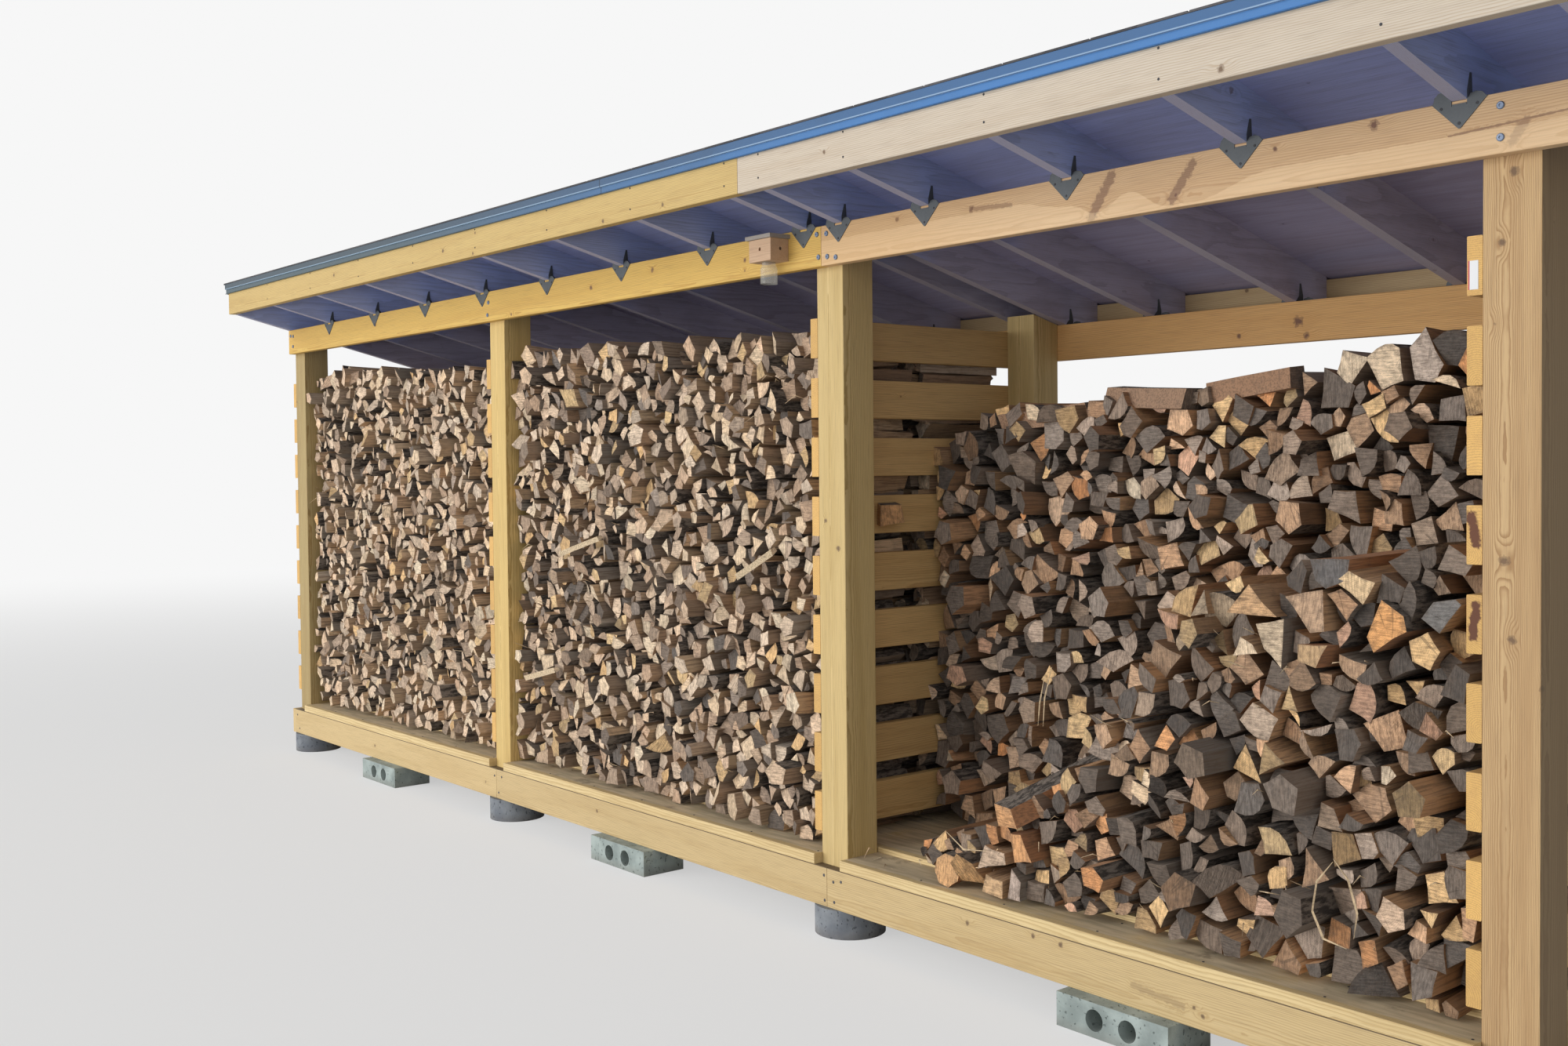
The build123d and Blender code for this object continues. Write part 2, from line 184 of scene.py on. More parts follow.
def concrete(name, pale, dark):
    surface = Surface(name)
    place = surface.place()
    z = place.split()[2]
    blotches = surface.noise(place, 9.0, detail=6.0)
    grit = surface.noise(place, 260.0, detail=2.0)
    pits = surface.step(surface.noise(place, 75.0, detail=1.0), 0.64, 0.72)
    body = surface.mix(surface.step(blotches, 0.3, 0.7), dark, pale)
    body = surface.mix(surface.step(z, 0.045, 0.0) * 0.7 * blotches, body, (0.13, 0.10, 0.075))
    body = surface.mix(pits * 0.6, body, dark, "MULTIPLY")
    surface.colour(body)
    surface.rough(0.92)
    surface.bump(grit * 0.4 - pits + blotches, 0.002)
    return surface


dress(["piers"], concrete("cast_pier_concrete", (0.24, 0.26, 0.28), (0.13, 0.145, 0.17)))
dress(["footing_blocks"], concrete("block_concrete", (0.38, 0.44, 0.42), (0.22, 0.26, 0.25)))


# Rims and joists: treated pine boards on edge, sawn and eased, butted on the inner posts.
# The grain runs along each board, with knots, and the face has greyed a little.
post_lefts = [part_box(f"front_post_{number}")[0][0] for number in range(1, 5)]
board_height = 0.140
half_board = board_height / 2
pine_pale = (0.61, 0.46, 0.235)
pine_late = (0.43, 0.285, 0.115)
pine_stain = (0.13, 0.075, 0.04)


def timber(surface, along, number, centre, pale, late, stain=pine_stain, ring=0.0055, knots=(),
           spikes=(), knot_share=0.45, contrast=0.55, streaks=0.35, wander=0.04, scatter=0.075):
    """Sawn softwood. along is the grain's axis, number tells the boards apart, and centre
    is the middle of the board's section on the other two axes."""
    place = surface.place()
    across = [part for axis, part in enumerate(place.split()) if axis != along]
    luck = surface.random(surface.vector(number, 3.7, 1.3)).split()
    shift = surface.vector(number * 3.1, number * 1.7, number * 2.3)
    shifted = surface.vectors("ADD", place, shift)

    def drawn(vector, crosswise, lengthwise):
        """The vector with one factor across the grain and one along it."""
        return surface.stretched(vector, [lengthwise if axis == along else crosswise
                                          for axis in range(3)])

    drift = surface.noise(drawn(shifted, 7.0, 0.8), 1.0, detail=2.0, out="Color").split()
    ripple = (surface.noise(drawn(place, 26.0, 9.0), 1.0) - 0.5) * 0.006
    wobble = surface.noise(place, 75.0, detail=2.0) - 0.5

    def knotted(gap, size, kept):
        """A knot with its darker core, and the grain that parts round it."""
        away = surface.length(gap) + wobble * size * 1.3
        disk = surface.step(away, size * 1.05, size * 0.8) * 0.6
        core = surface.step(away, size * 0.7, size * 0.4) * 0.5
        parted = surface.step(surface.length(drawn(gap, 1.0, 0.4)), size * 1.9 + 0.002, size * 0.6)
        return (disk + core) * kept, parted * kept

    # knots strewn by chance, one in each cell of a stretched pattern, then the given ones
    cell, long_cell = 0.13, 0.42
    cells = surface.vectors("ADD", drawn(place, 1 / cell, 1 / long_cell), shift)
    pattern = {"Vector": cells, "Scale": 1.0}
    heart = surface.node("TexVoronoi", {}, pattern, out="Position")
    chance = surface.node("TexVoronoi", {}, pattern, out="Color").split()
    kept = chance[0] > 1 - knot_share
    knot, halo = knotted(drawn(surface.vectors("SUBTRACT", cells, heart), cell, long_cell),
                         (chance[1] * 0.008 + 0.004) * kept, kept)
    for x, y, z, size in knots:
        made = knotted(surface.vectors("SUBTRACT", place, (x, y, z)), size, 1.0)
        knot, halo = knot.most(made[0]), halo.most(made[1])
    for first, last, size, strength in spikes:
        away = surface.from_line(place, first, last) + wobble * size * 1.6
        knot = knot.most(surface.step(away, size, size * 0.5) * strength)
        halo = halo.most(surface.step(away, size * 2.6, size * 0.5) * 0.7)

    first = across[0] - centre[0] + (luck[0] - 0.5) * scatter + (drift[0] - 0.5) * wander
    second = across[1] - centre[1] + (luck[1] + 0.45) * scatter + (drift[1] - 0.5) * wander
    radius = (first * first + second * second) ** 0.5 + ripple
    year = ((radius + halo * 0.008) / ring).fraction()
    late_wood = surface.step(year, 0.35, 0.93) * surface.step(year, 1.0, 0.94)
    fibres = surface.noise(drawn(place, 420.0, 9.0), 1.0, detail=2.0)
    broad = surface.noise(drawn(shifted, 22.0, 1.1), 1.0)
    saw = surface.noise(place, 90.0, detail=1.0)

    colour = surface.mix(late_wood * contrast, pale, late)
    colour = surface.mix(surface.step(broad, 0.42, 0.72) * streaks, colour, late)
    colour = surface.mix(surface.step(fibres, 0.45, 0.75) * 0.25, colour, stain)
    colour = surface.mix(halo * 0.22, colour, late)
    colour = surface.mix(knot * 0.82, colour, stain)
    surface.colour(surface.scaled(colour, luck[2] * 0.16 + 0.90))
    surface.rough(0.72)
    surface.bump(fibres * 0.6 + saw * 0.3, 0.0007)


def board_finish(name, along, breaks, centre, pale=pine_pale, late=pine_late,
                 stain=pine_stain, seed=0.0, **looks):
    """Boards that lie in one line, told apart by the places where they are butted."""
    surface = Surface(name)
    run = surface.place().split()[along]
    number = seed
    for place in breaks:
        number = (run > place) + number
    timber(surface, along, number, centre, pale, late, stain, **looks)
    return surface


def section_middle(low, high):
    """Middle of the section of a board on edge that runs along x."""
    return (low[1] + high[1]) / 2, low[2] + half_board


post_half = 0.070
rim_breaks = [left + post_half for left in post_lefts[1:3]]
rim_low, rim_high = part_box("front_rim")
back_low, back_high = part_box("back_rim")
rim_face = rim_low[1]
rim_knots = [(x, rim_face, z, size) for x, z, size in (
    (1.812, 0.200, 0.010), (2.094, 0.222, 0.009), (2.204, 0.221, 0.010), (2.687, 0.159, 0.007),
    (2.716, 0.141, 0.008), (-0.42, 0.19, 0.009), (-2.7, 0.17, 0.010))]
rim_stain = ((2.475, rim_face, 0.168), (2.650, rim_face, 0.152), 0.012, 0.35)
surface = board_finish("front_rim_pine", 0, rim_breaks, section_middle(rim_low, rim_high),
                       seed=4.0, contrast=0.6, knots=rim_knots, knot_share=0.25,
                       spikes=[rim_stain])
dress(["front_rim"], surface)


def darkened(surface, share, colour):
    """Lays a colour over the surface's own by a share."""
    link = [link for link in surface.tree.links
            if link.to_socket == surface.shader.inputs["Base Color"]][0]
    surface.colour(surface.mix(share, Value(surface, link.from_socket), colour))


height = surface.place().split()[2]
darkened(surface, surface.step(height, rim_high[2] - 0.003, rim_high[2] - 0.0015) * 0.85,
         (0.06, 0.04, 0.025))
dress(["back_rim"], board_finish("back_rim_pine", 0, rim_breaks,
                                 section_middle(back_low, back_high), seed=11.0, contrast=0.4))
dress(["end_joists"], board_finish("end_joist_pine", 1, [],
                                   (post_lefts[0], rim_low[2] + half_board), seed=2.0))
dress(["floor_joists"], board_finish("floor_joist_pine", 1, [],
                                     (0.0, rim_low[2] + half_board), seed=7.0))


# Front deck boards and the inner floor: thicker planks between the posts at the front,
# and a raised floor behind them. Their tops are walked on, grey and stained with bark, painted paler
# for the sky light on them, with a painted highlight in a strip along the front edge.
plank_width = 0.14


def deck_finish(name, seed, planks):
    surface = Surface(name)
    place = surface.place()
    y = place.split()[1]
    low, high = planks
    width = (high - low) / max(1, round((high - low) / plank_width))
    number = ((y - low) / width).floor() + seed
    middle = (number - seed + 0.5) * width + low
    timber(surface, 0, number, (middle, 0.26), (0.68, 0.53, 0.28), pine_late, streaks=0.5)
    top = surface.facing(2) > 0.7
    dirt = surface.noise(place, 5.0, detail=6.0, roughness=0.65)
    scuffs = surface.noise(surface.stretched(place, (6.0, 40.0, 40.0)), 1.0, detail=4.0)
    # painted sky light: the weathered grey of the tops is made paler for the light that falls on them
    # from above
    greyed_and_skylit = surface.mix(surface.step(scuffs, 0.3, 0.7), (0.42, 0.34, 0.23), (0.66, 0.54, 0.36))
    worn_and_skylit = surface.mix(surface.step(dirt, 0.58, 0.70) * 0.7, greyed_and_skylit, (0.15, 0.11, 0.08))
    seams = surface.step(((y - low) / width).fraction(), 0.03, 0.0)
    worn_and_skylit = surface.mix(seams * 0.9, worn_and_skylit, (0.03, 0.025, 0.02))
    # painted highlight: a strip along the front edge of the planks' top keeps the paler sawn colour
    behind_lit_edge = surface.step(y + (scuffs - 0.5) * 0.03, low + 0.020, low + 0.034)
    darkened(surface, top * surface.step(dirt, 0.2, 0.5) * behind_lit_edge * 0.9, worn_and_skylit)
    surface.rough(0.86)
    return surface


deck_low, deck_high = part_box("front_deck_boards")
dress(["front_deck_boards"], deck_finish("front_deck_pine", 21.0, (deck_low[1], deck_high[1])))
for number in range(1, 4):
    low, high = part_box(f"floor_panel_{number}")
    dress([f"floor_panel_{number}"],
          deck_finish(f"inner_floor_{number}", 30.0 + 9 * number, (low[1], high[1])))


# Posts: square sawn pine, six inches nominal, standing in the rims. The grain runs upright
# with the heart inside the post, so that pointed arches show on the faces.
post_knots = {3: [(1.082, 1.468, 0.009), (1.150, 1.372, 0.012)],
              4: [(3.560, 2.323, 0.013), (3.531, 2.161, 0.010), (3.538, 1.424, 0.015),
                  (3.555, 1.241, 0.012)]}
post_tones = [((0.45, 0.345, 0.155), (0.33, 0.22, 0.08)),
              ((0.66, 0.48, 0.19), (0.46, 0.30, 0.09)),
              ((0.64, 0.48, 0.22), (0.45, 0.31, 0.11)),
              ((0.53, 0.36, 0.18), (0.33, 0.19, 0.08))]
heart_depth = 0.034
for number, left in enumerate(post_lefts, start=1):
    for row, row_seed in (("front", 70.0), ("back", 50.0)):
        name = f"{row}_post_{number}"
        low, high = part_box(name)
        knots = [(x, low[1], z, size) for x, z, size in post_knots.get(number, ())]
        surface = Surface(f"{name}_pine")
        timber(surface, 2, number * 2.0 + row_seed,
               ((low[0] + high[0]) / 2 - 0.01, low[1] + heart_depth), *post_tones[number - 1],
               ring=0.0038, knots=knots if row == "front" else (), contrast=1.0, knot_share=0.3,
               streaks=0.5, wander=0.016, scatter=0.02)
        if number == 4:
            # painted shade: the right face of the last posts is darker, as the light falls from the
            # left
            darkened(surface, (surface.facing(0) > 0.7) * 0.75, (0.13, 0.09, 0.045))
        dress([name], surface)


# Slatted walls: boards on the posts' left faces with gaps between them. They are sheltered,
# so they have kept a warmer colour than the boards at the front.
slat_count = 9
slat_pale = (0.70, 0.47, 0.20)
slat_late = (0.50, 0.29, 0.105)
slat_stain = (0.11, 0.035, 0.012)


def slat_pitch(low, high):
    return (high[2] - low[2] - board_height) / (slat_count - 1)


for wall in range(1, 5):
    low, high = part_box(f"slat_wall_{wall}")
    pitch = slat_pitch(low, high)
    surface = Surface(f"slat_wall_{wall}_pine")
    z = surface.place().split()[2]
    course = ((z - low[2] + (pitch - board_height) / 2) / pitch).floor()
    middle = course * pitch + low[2] + half_board
    sawn_end = surface.facing(1) < -0.7
    pale = surface.mix(sawn_end * 0.5, slat_pale, (0.72, 0.40, 0.07))
    end_knots = [((3.459, low[1], 1.526), (3.469, low[1], 1.462), 0.015, 1.25),
                 ((3.470, low[1], 1.315), (3.462, low[1], 1.245), 0.015, 1.25)]
    timber(surface, 1, course + wall * 17.0, ((low[0] + high[0]) / 2, middle), pale, slat_late,
           slat_stain, contrast=0.7, spikes=end_knots if wall == 4 else ())
    dress([f"slat_wall_{wall}"], surface)


# Beams: boards screwed to the outer faces of the front and back posts, in two lengths
# butted on the third post. The left front one is the yellowest board of the store.
beam_tones = {"front_beam_left": ((0.68, 0.45, 0.115), (0.52, 0.29, 0.06)),
              "front_beam_right": ((0.68, 0.46, 0.26), (0.53, 0.32, 0.155)),
              "back_beam_left": ((0.70, 0.43, 0.16), (0.53, 0.28, 0.08)),
              "back_beam_right": ((0.72, 0.42, 0.16), (0.55, 0.28, 0.085))}
beam_knots = {"front_beam_left": [(-1.112, 2.375, 0.009), (-0.411, 2.430, 0.013),
                                  (0.057, 2.458, 0.012), (0.674, 2.429, 0.010),
                                  (0.673, 2.391, 0.007), (-2.6, 2.44, 0.010)],
              "front_beam_right": [(1.508, 2.472, 0.010), (1.851, 2.460, 0.013),
                                   (2.948, 2.468, 0.008), (3.227, 2.480, 0.015),
                                   (2.348, 2.378, 0.008), (2.634, 2.394, 0.008)],
              "back_beam_right": [(2.271, 2.140, 0.021), (2.302, 2.090, 0.013),
                                  (2.031, 2.107, 0.010)]}
beam_spikes = {"front_beam_right": [(1.851, 2.460, 2.018, 2.451, 0.009, 0.6),
                                    (2.335, 2.372, 2.410, 2.480, 0.020, 0.75),
                                    (2.622, 2.385, 2.690, 2.470, 0.018, 0.75),
                                    (3.572, 2.385, 3.602, 2.425, 0.015, 0.6),
                                    (3.420, 2.420, 3.854, 2.441, 0.0035, 0.7)]}
for number, (name, (pale, late)) in enumerate(beam_tones.items()):
    low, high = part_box(name)
    face = low[1]
    knots = [(x, face, z, size) for x, z, size in beam_knots.get(name, ())]
    spikes = [((x, face, z), (x_last, face, z_last), size, strength)
              for x, z, x_last, z_last, size, strength in beam_spikes.get(name, ())]
    surface = board_finish(f"{name}_pine", 0, [], section_middle(low, high), pale, late,
                           (0.14, 0.06, 0.04), seed=80.0 + 3 * number, contrast=0.85,
                           knots=knots, spikes=spikes, knot_share=0.2)
    if name == "front_beam_right":
        # paler sapwood below a line that rises and falls along the beam
        place = surface.place()
        x, z = place.split()[::2]
        line = (2.447 - surface.step(x, 2.03, 2.256) * 0.032 - surface.step(x, 2.256, 2.35) * 0.03
                + surface.step(x, 2.36, 2.47) * 0.04 - surface.step(x, 2.48, 2.60) * 0.055
                + surface.step(x, 2.70, 2.94) * 0.05)
        below = surface.step(line + (surface.noise(place, 30.0) - 0.5) * 0.012 - z,
                             -0.001, 0.003)
        darkened(surface, below * 0.30, (0.93, 0.69, 0.42))
        darkened(surface, surface.step(x, 2.3, 1.2) * 0.25, (0.62, 0.33, 0.08))
    dress([name], surface)


# Rafters: pine boards on edge from the front fascia to the rear one, notched over both beams
# and held there by the ties. Their sides carry a painted blue tint of sky light at the front and a
# duller painted lilac shade behind, and their lower edges a painted shade.
for name in ("rafters", "end_rafters"):
    surface = Surface(f"{name}_pine")
    x, y = surface.place().split()[:2]
    # painted light: pine tinted blue by sky light at the front, a duller lilac shade behind
    behind = surface.step(y, -0.30, 0.0)
    pale = surface.mix(behind, (0.40, 0.49, 0.80), (0.50, 0.48, 0.62))
    late = surface.mix(behind, (0.29, 0.35, 0.58), (0.33, 0.31, 0.41))
    timber(surface, 1, (x / 0.3).floor(), (0.0, 2.4), pale, late)
    # painted shade: the rafters' lower edges are darkened
    darkened(surface, (surface.facing(2) < -0.5) * 0.6, (0.33, 0.28, 0.30))
    dress([name], surface)


# Rafter ties: pressed galvanised steel, a pointed plate nailed to the beam's face and two
# upright straps against the rafter. The zinc has dulled to a blue grey.
def metal(name, pale, dark, rough, metallic):
    surface = Surface(name)
    place = surface.place()
    spangle = surface.node("TexVoronoi", {}, {"Vector": place, "Scale": 160.0}, out="Color")
    flake = spangle.split()[0]
    cloud = surface.noise(place, 12.0, detail=4.0)
    surface.colour(surface.mix(cloud * 0.6 + flake * 0.3, dark, pale))
    surface.rough(flake * 0.12 + rough)
    surface.feed("Metallic", metallic)
    return surface


tie_finish = metal("galvanised_tie", (0.115, 0.125, 0.13), (0.05, 0.057, 0.065), 0.55, 0.3)
dress(["rafter_ties_front", "rafter_ties_back"], tie_finish)


# Fascia boards: pale planed boards nailed to the rafters' ends. The front ones are butted
# beside the third post, and the left one is yellower than the right one.
fascia_tones = [((0.60, 0.435, 0.17), (0.44, 0.28, 0.09)),
                ((0.56, 0.49, 0.40), (0.43, 0.33, 0.23)),
                ((0.48, 0.36, 0.20), (0.36, 0.24, 0.11))]
fascia_knots = [(-1.086, 2.633, 0.011), (-0.780, 2.676, 0.007), (-0.804, 2.590, 0.008),
                (0.248, 2.594, 0.010), (0.649, 2.602, 0.009), (1.550, 2.643, 0.008),
                (3.029, 2.601, 0.012), (-2.3, 2.65, 0.010)]
fascia_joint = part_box("front_fascia_left")[1][0]
for number, name in enumerate(("front_fascia_left", "front_fascia_right", "rear_fascia")):
    low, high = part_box(name)
    pale, late = fascia_tones[number]
    knots = [(x, low[1], z, size) for x, z, size in fascia_knots] if number < 2 else ()
    dress([name], board_finish(f"{name}_pine", 0, [fascia_joint] if number == 2 else [],
                               section_middle(low, high), pale, late, seed=101.0 + 5 * number,
                               contrast=0.75, knots=knots, knot_share=0.2))


# Roof boarding: sheathing sheets nailed on the rafters. Their lower faces have broad figured
# grain and black knots, and carry a painted blue tint of sky light at the front and a duller painted
# lilac shade behind.
surface = Surface("roof_sheathing")
# painted light: a blue tint of sky light at the front, a duller lilac shade behind
behind = surface.step(surface.place().split()[1], -0.30, 0.0)
pale = surface.mix(behind, (0.38, 0.44, 0.80), (0.42, 0.39, 0.57))
late = surface.mix(behind, (0.30, 0.33, 0.60), (0.31, 0.27, 0.39))
timber(surface, 0, 5.0, (0.0, 2.0), pale, late, (0.08, 0.065, 0.10), ring=0.045,
       contrast=0.35, knot_share=0.8, wander=0.30)
dress(["roof_deck"], surface)


# Shingles: courses of dark granular bituminous tabs, nailed to the boarding, each course
# lapping the one below it. They stand for the plain covering sheet.
cover_low, cover_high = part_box("roof_covering")
fall = 0.25
fall_factor = math.hypot(1, fall)
sheet_thickness = 0.007


def alone(piece):
    """Makes a piece the active one and the only one selected."""
    bpy.ops.object.select_all(action="DESELECT")
    piece.select_set(True)
    bpy.context.view_layer.objects.active = piece


def settled(piece):
    """Works the piece's place, turn and scale into its mesh."""
    alone(piece)
    bpy.ops.object.transform_apply(location=True, rotation=True, scale=True)


def plain(name, size, centre):
    """A box primitive at its size and place."""
    bpy.ops.object.select_all(action="DESELECT")
    bpy.ops.mesh.primitive_cube_add(size=1, location=centre)
    piece = bpy.context.object
    piece.name = name
    piece.scale = size
    settled(piece)
    return piece


def modified(piece, kind, **settings):
    """Adds a modifier with these settings and applies it."""
    alone(piece)
    made = piece.modifiers.new(kind.lower(), kind)
    for key, value in settings.items():
        setattr(made, key, value)
    bpy.ops.object.modifier_apply(modifier=made.name)


def joined(name, pieces):
    alone(pieces[0])
    for piece in pieces:
        piece.select_set(True)
    bpy.ops.object.join()
    pieces[0].name = name
    settled(pieces[0])
    return pieces[0]


def finished(piece, surface, slot, *stands_for):
    """The piece takes its finish, rides on the store and stands for CAD nodes."""
    piece.data.materials.clear()
    piece.data.materials.append(surface.material)
    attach(piece, "root")
    if stands_for:
        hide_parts(*stands_for)


width = cover_high[0] - cover_low[0]
slope_run = (cover_high[1] - cover_low[1] - 1.3 * sheet_thickness * fall) * fall_factor - 0.001
tab_count = 25
course_count = 13
tab_width = width / tab_count
exposure = slope_run / course_count
butt = 0.0038
tab_gap = 0.006
sheet = plain("shingle_base", (width, slope_run, sheet_thickness - butt),
              (0, 0, (sheet_thickness - butt) / 2))
tabs = []
least_tab = 0.02
for course in range(course_count):
    shift = (course % 2) * tab_width / 2
    edges = [0.0] + [tab_width * number + shift for number in range(1 - course % 2, tab_count)]
    edges = [edge for edge in edges if edge < width - least_tab] + [width]
    if edges[1] < least_tab:
        edges.pop(0)
        edges[0] = 0.0
    for first, last in zip(edges, edges[1:]):
        tabs.append(plain("tab", (last - first - tab_gap, exposure - 0.001, butt),
                          ((first + last) / 2 - width / 2, exposure * (course + 0.5) - slope_run / 2,
                           sheet_thickness - butt / 2 - 0.0002)))
covering = joined("shingle_courses", [sheet] + tabs)
covering.rotation_euler = (-math.atan(fall), 0, 0)
covering.location = (0, (cover_low[1] + cover_high[1]) / 2,
                     (cover_low[2] + cover_high[2] - sheet_thickness * fall_factor) / 2)
settled(covering)

surface = Surface("shingle_granules")
place = surface.place()
x, y = place.split()[:2]
tab_number = surface.vector((x / tab_width).floor(), (y / (exposure / fall_factor)).floor(), 0.0)
shade = surface.random(tab_number).split()[0]
granules = surface.noise(place, 700.0, detail=1.0)
moss = surface.step(surface.noise(place, 2.2, detail=5.0), 0.55, 0.75)
body = surface.mix(shade * 0.55 + surface.step(granules, 0.4, 0.65) * 0.45,
                   (0.035, 0.035, 0.04), (0.115, 0.11, 0.115))
surface.colour(surface.mix(moss * 0.35, body, (0.10, 0.10, 0.07)))
surface.rough(0.95)
surface.bump(granules, 0.0008)
finished(covering, surface, "roof_covering", "roof_covering")


# Metal edges: two-step enamelled steel drip edges nailed along the eaves, lapped once, and
# plain ones down the rakes. The front one is greyer at its left end, and carries a painted shade on
# its upper step and a painted highlight along its fold.
drip = Surface("drip_edge_enamel")
place = drip.place()
x, y, z = place.split()
cloud = drip.noise(place, 3.0, detail=5.0)
blue = drip.step(x, -2.0, 2.5)
body = drip.mix(blue, (0.075, 0.105, 0.12), (0.055, 0.18, 0.42))
body = drip.mix(drip.step(cloud, 0.5, 0.8) * 0.4, body, (0.05, 0.07, 0.09))
eave_low, eave_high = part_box("front_drip_edge")
fold = eave_low[2] + 0.5 * (eave_high[2] - eave_low[2])
at_front = y < -0.8
# painted shade: the upper step of the front drip edge is darker
upper = drip.step(z, fold, fold + 0.002) * at_front
body = drip.mix(upper * 0.45, body, (0.03, 0.045, 0.07))
# painted highlight: a pale line along the fold
line = drip.step((z - fold).absolute(), 0.0028, 0.0016) * at_front
body = drip.mix(line * 0.7, body, (0.30, 0.42, 0.55))
lap_place = 0.246
lap = drip.step((x - lap_place).absolute(), 0.0035, 0.0020)
drip.colour(drip.mix(lap * 0.8, body, (0.02, 0.03, 0.045)))
drip.rough(0.5)
drip.feed("Specular IOR Level", 0.25)
dress(["front_drip_edge", "rear_drip_edge", "rake_drip_edges"], drip)


# Fittings: screws with washer heads in the beams and rims, small screws in the slats, nails
# in the fascia, the front deck and the ties, and the ties' rounded ears above the beams.
def solid_mesh(name, places, faces):
    """An object from arrays of closed shapes, its faces turned outwards."""
    mesh = bpy.data.meshes.new(name)
    mesh.from_pydata(places, [], faces)
    mesh.validate()
    piece = bpy.data.objects.new(name, mesh)
    bpy.context.collection.objects.link(piece)
    alone(piece)
    bpy.ops.object.mode_set(mode="EDIT")
    bpy.ops.mesh.select_all(action="SELECT")
    bpy.ops.mesh.normals_make_consistent(inside=False)
    bpy.ops.object.mode_set(mode="OBJECT")
    return piece


def studs(name, spots, radius, height, count=10):
    """Round heads with a small drive recess. Each spot has a centre on a face, the axis the
    face looks along, and the way it looks."""
    places, faces = [], []
    profile = [(1.0, 0.0), (1.0, 0.55), (0.82, 1.0), (0.34, 1.0), (0.26, 0.45)]
    for centre, axis, way in spots:
        base = len(places)
        for far, rise in profile:
            for k in range(count):
                angle = math.tau * k / count
                offset = [far * radius * math.cos(angle), far * radius * math.sin(angle)]
                offset.insert(axis, rise * height * way)
                places.append([centre[i] + offset[i] for i in range(3)])
        for ring in range(len(profile) - 1):
            for k in range(count):
                a, b = base + ring * count + k, base + ring * count + (k + 1) % count
                faces.append((a, b, b + count, a + count))
        top = base + (len(profile) - 1) * count
        faces.append(tuple(range(base, base + count)))
        faces.append(tuple(range(top, top + count)))
    return solid_mesh(name, places, faces)


member_gap = 0.045


def centres_along_x(name):
    """Where a node's repeated members stand along x."""
    xs = sorted((nodes[name].matrix_world @ vertex.co).x for vertex in nodes[name].data.vertices)
    groups = [[xs[0]]]
    for x in xs[1:]:
        if x - groups[-1][-1] > member_gap:
            groups.append([])
        groups[-1].append(x)
    return [(group[0] + group[-1]) / 2 for group in groups]


# places of the screws along the store and above a board's lower edge
beam_screws = [(3.545, 0.110), (3.545, 0.037), (1.094, 0.113), (1.102, 0.033), (1.146, 0.110),
               (1.150, 0.030), (1.195, 0.023), (-1.330, 0.088), (-1.340, 0.030),
               (-3.800, 0.106), (-3.762, 0.102), (-3.765, 0.042)]
rim_screws = [(1.100, 0.111), (1.151, 0.096), (1.192, 0.104), (1.103, 0.022), (1.155, 0.025),
              (-1.340, 0.105), (-1.300, 0.030), (-1.270, 0.108), (-3.800, 0.108),
              (-3.770, 0.030), (3.530, 0.110), (3.580, 0.030)]


def front_and_back(marks, front, back):
    """The same marks on the outer faces of a front node and of a back node."""
    front_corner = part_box(front)[0]
    back_low, back_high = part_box(back)
    return ([((x, front_corner[1], front_corner[2] + z), 1, -1) for x, z in marks]
            + [((x, back_high[1], back_low[2] + z), 1, 1) for x, z in marks])


washers = metal("washer_zinc", (0.22, 0.27, 0.36), (0.10, 0.13, 0.19), 0.45, 0.5)
spots = front_and_back(beam_screws, "front_beam_left", "back_beam_left")
finished(studs("beam_screws", spots, 0.0095, 0.004, 12), washers, "galvanised_steel")
spots = front_and_back(rim_screws, "front_rim", "back_rim")
outer_screw, inner_screw, screw_rise = 0.045, 0.095, 0.035
for wall in range(1, 5):
    low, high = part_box(f"slat_wall_{wall}")
    for course in range(slat_count):
        middle = low[2] + course * slat_pitch(low, high) + half_board
        for y, rise in ((low[1] + outer_screw, screw_rise), (low[1] + inner_screw, -screw_rise),
                        (high[1] - inner_screw, -screw_rise), (high[1] - outer_screw, screw_rise)):
            spots.append(((low[0], y, middle + rise), 0, -1))
screws = metal("screw_zinc", (0.12, 0.12, 0.13), (0.05, 0.05, 0.055), 0.5, 0.5)
finished(studs("small_screws", spots, 0.0055, 0.0016), screws, "galvanised_steel")

rafter_places = centres_along_x("rafters")
spots = front_and_back([(x, z) for x in rafter_places for z in (0.036, 0.113)],
                       "front_fascia_left", "rear_fascia")
edge_gap = 0.035
spots += [((x, y, deck_high[2]), 2, 1) for x in centres_along_x("floor_joists")
          for y in (deck_low[1] + edge_gap, deck_high[1] - edge_gap)]
tie_thickness = 0.0025
beam_low, beam_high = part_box("front_beam_left")
rear_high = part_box("back_beam_left")[1]
tie_places = [(x, face, way, top) for x in rafter_places
              for face, way, top in ((beam_low[1], -1, beam_high[2]),
                                     (rear_high[1], 1, rear_high[2]))]
spots += [((x + u, face + way * tie_thickness, top + w), 1, way) for x, face, way, top in tie_places
          for u, w in ((-0.044, -0.014), (0.044, -0.014), (0.0, -0.054))]
nails = metal("nail_steel", (0.05, 0.05, 0.055), (0.025, 0.025, 0.028), 0.5, 0.5)
finished(studs("nail_heads", spots, 0.0038, 0.0012, 8), nails, "galvanised_steel")

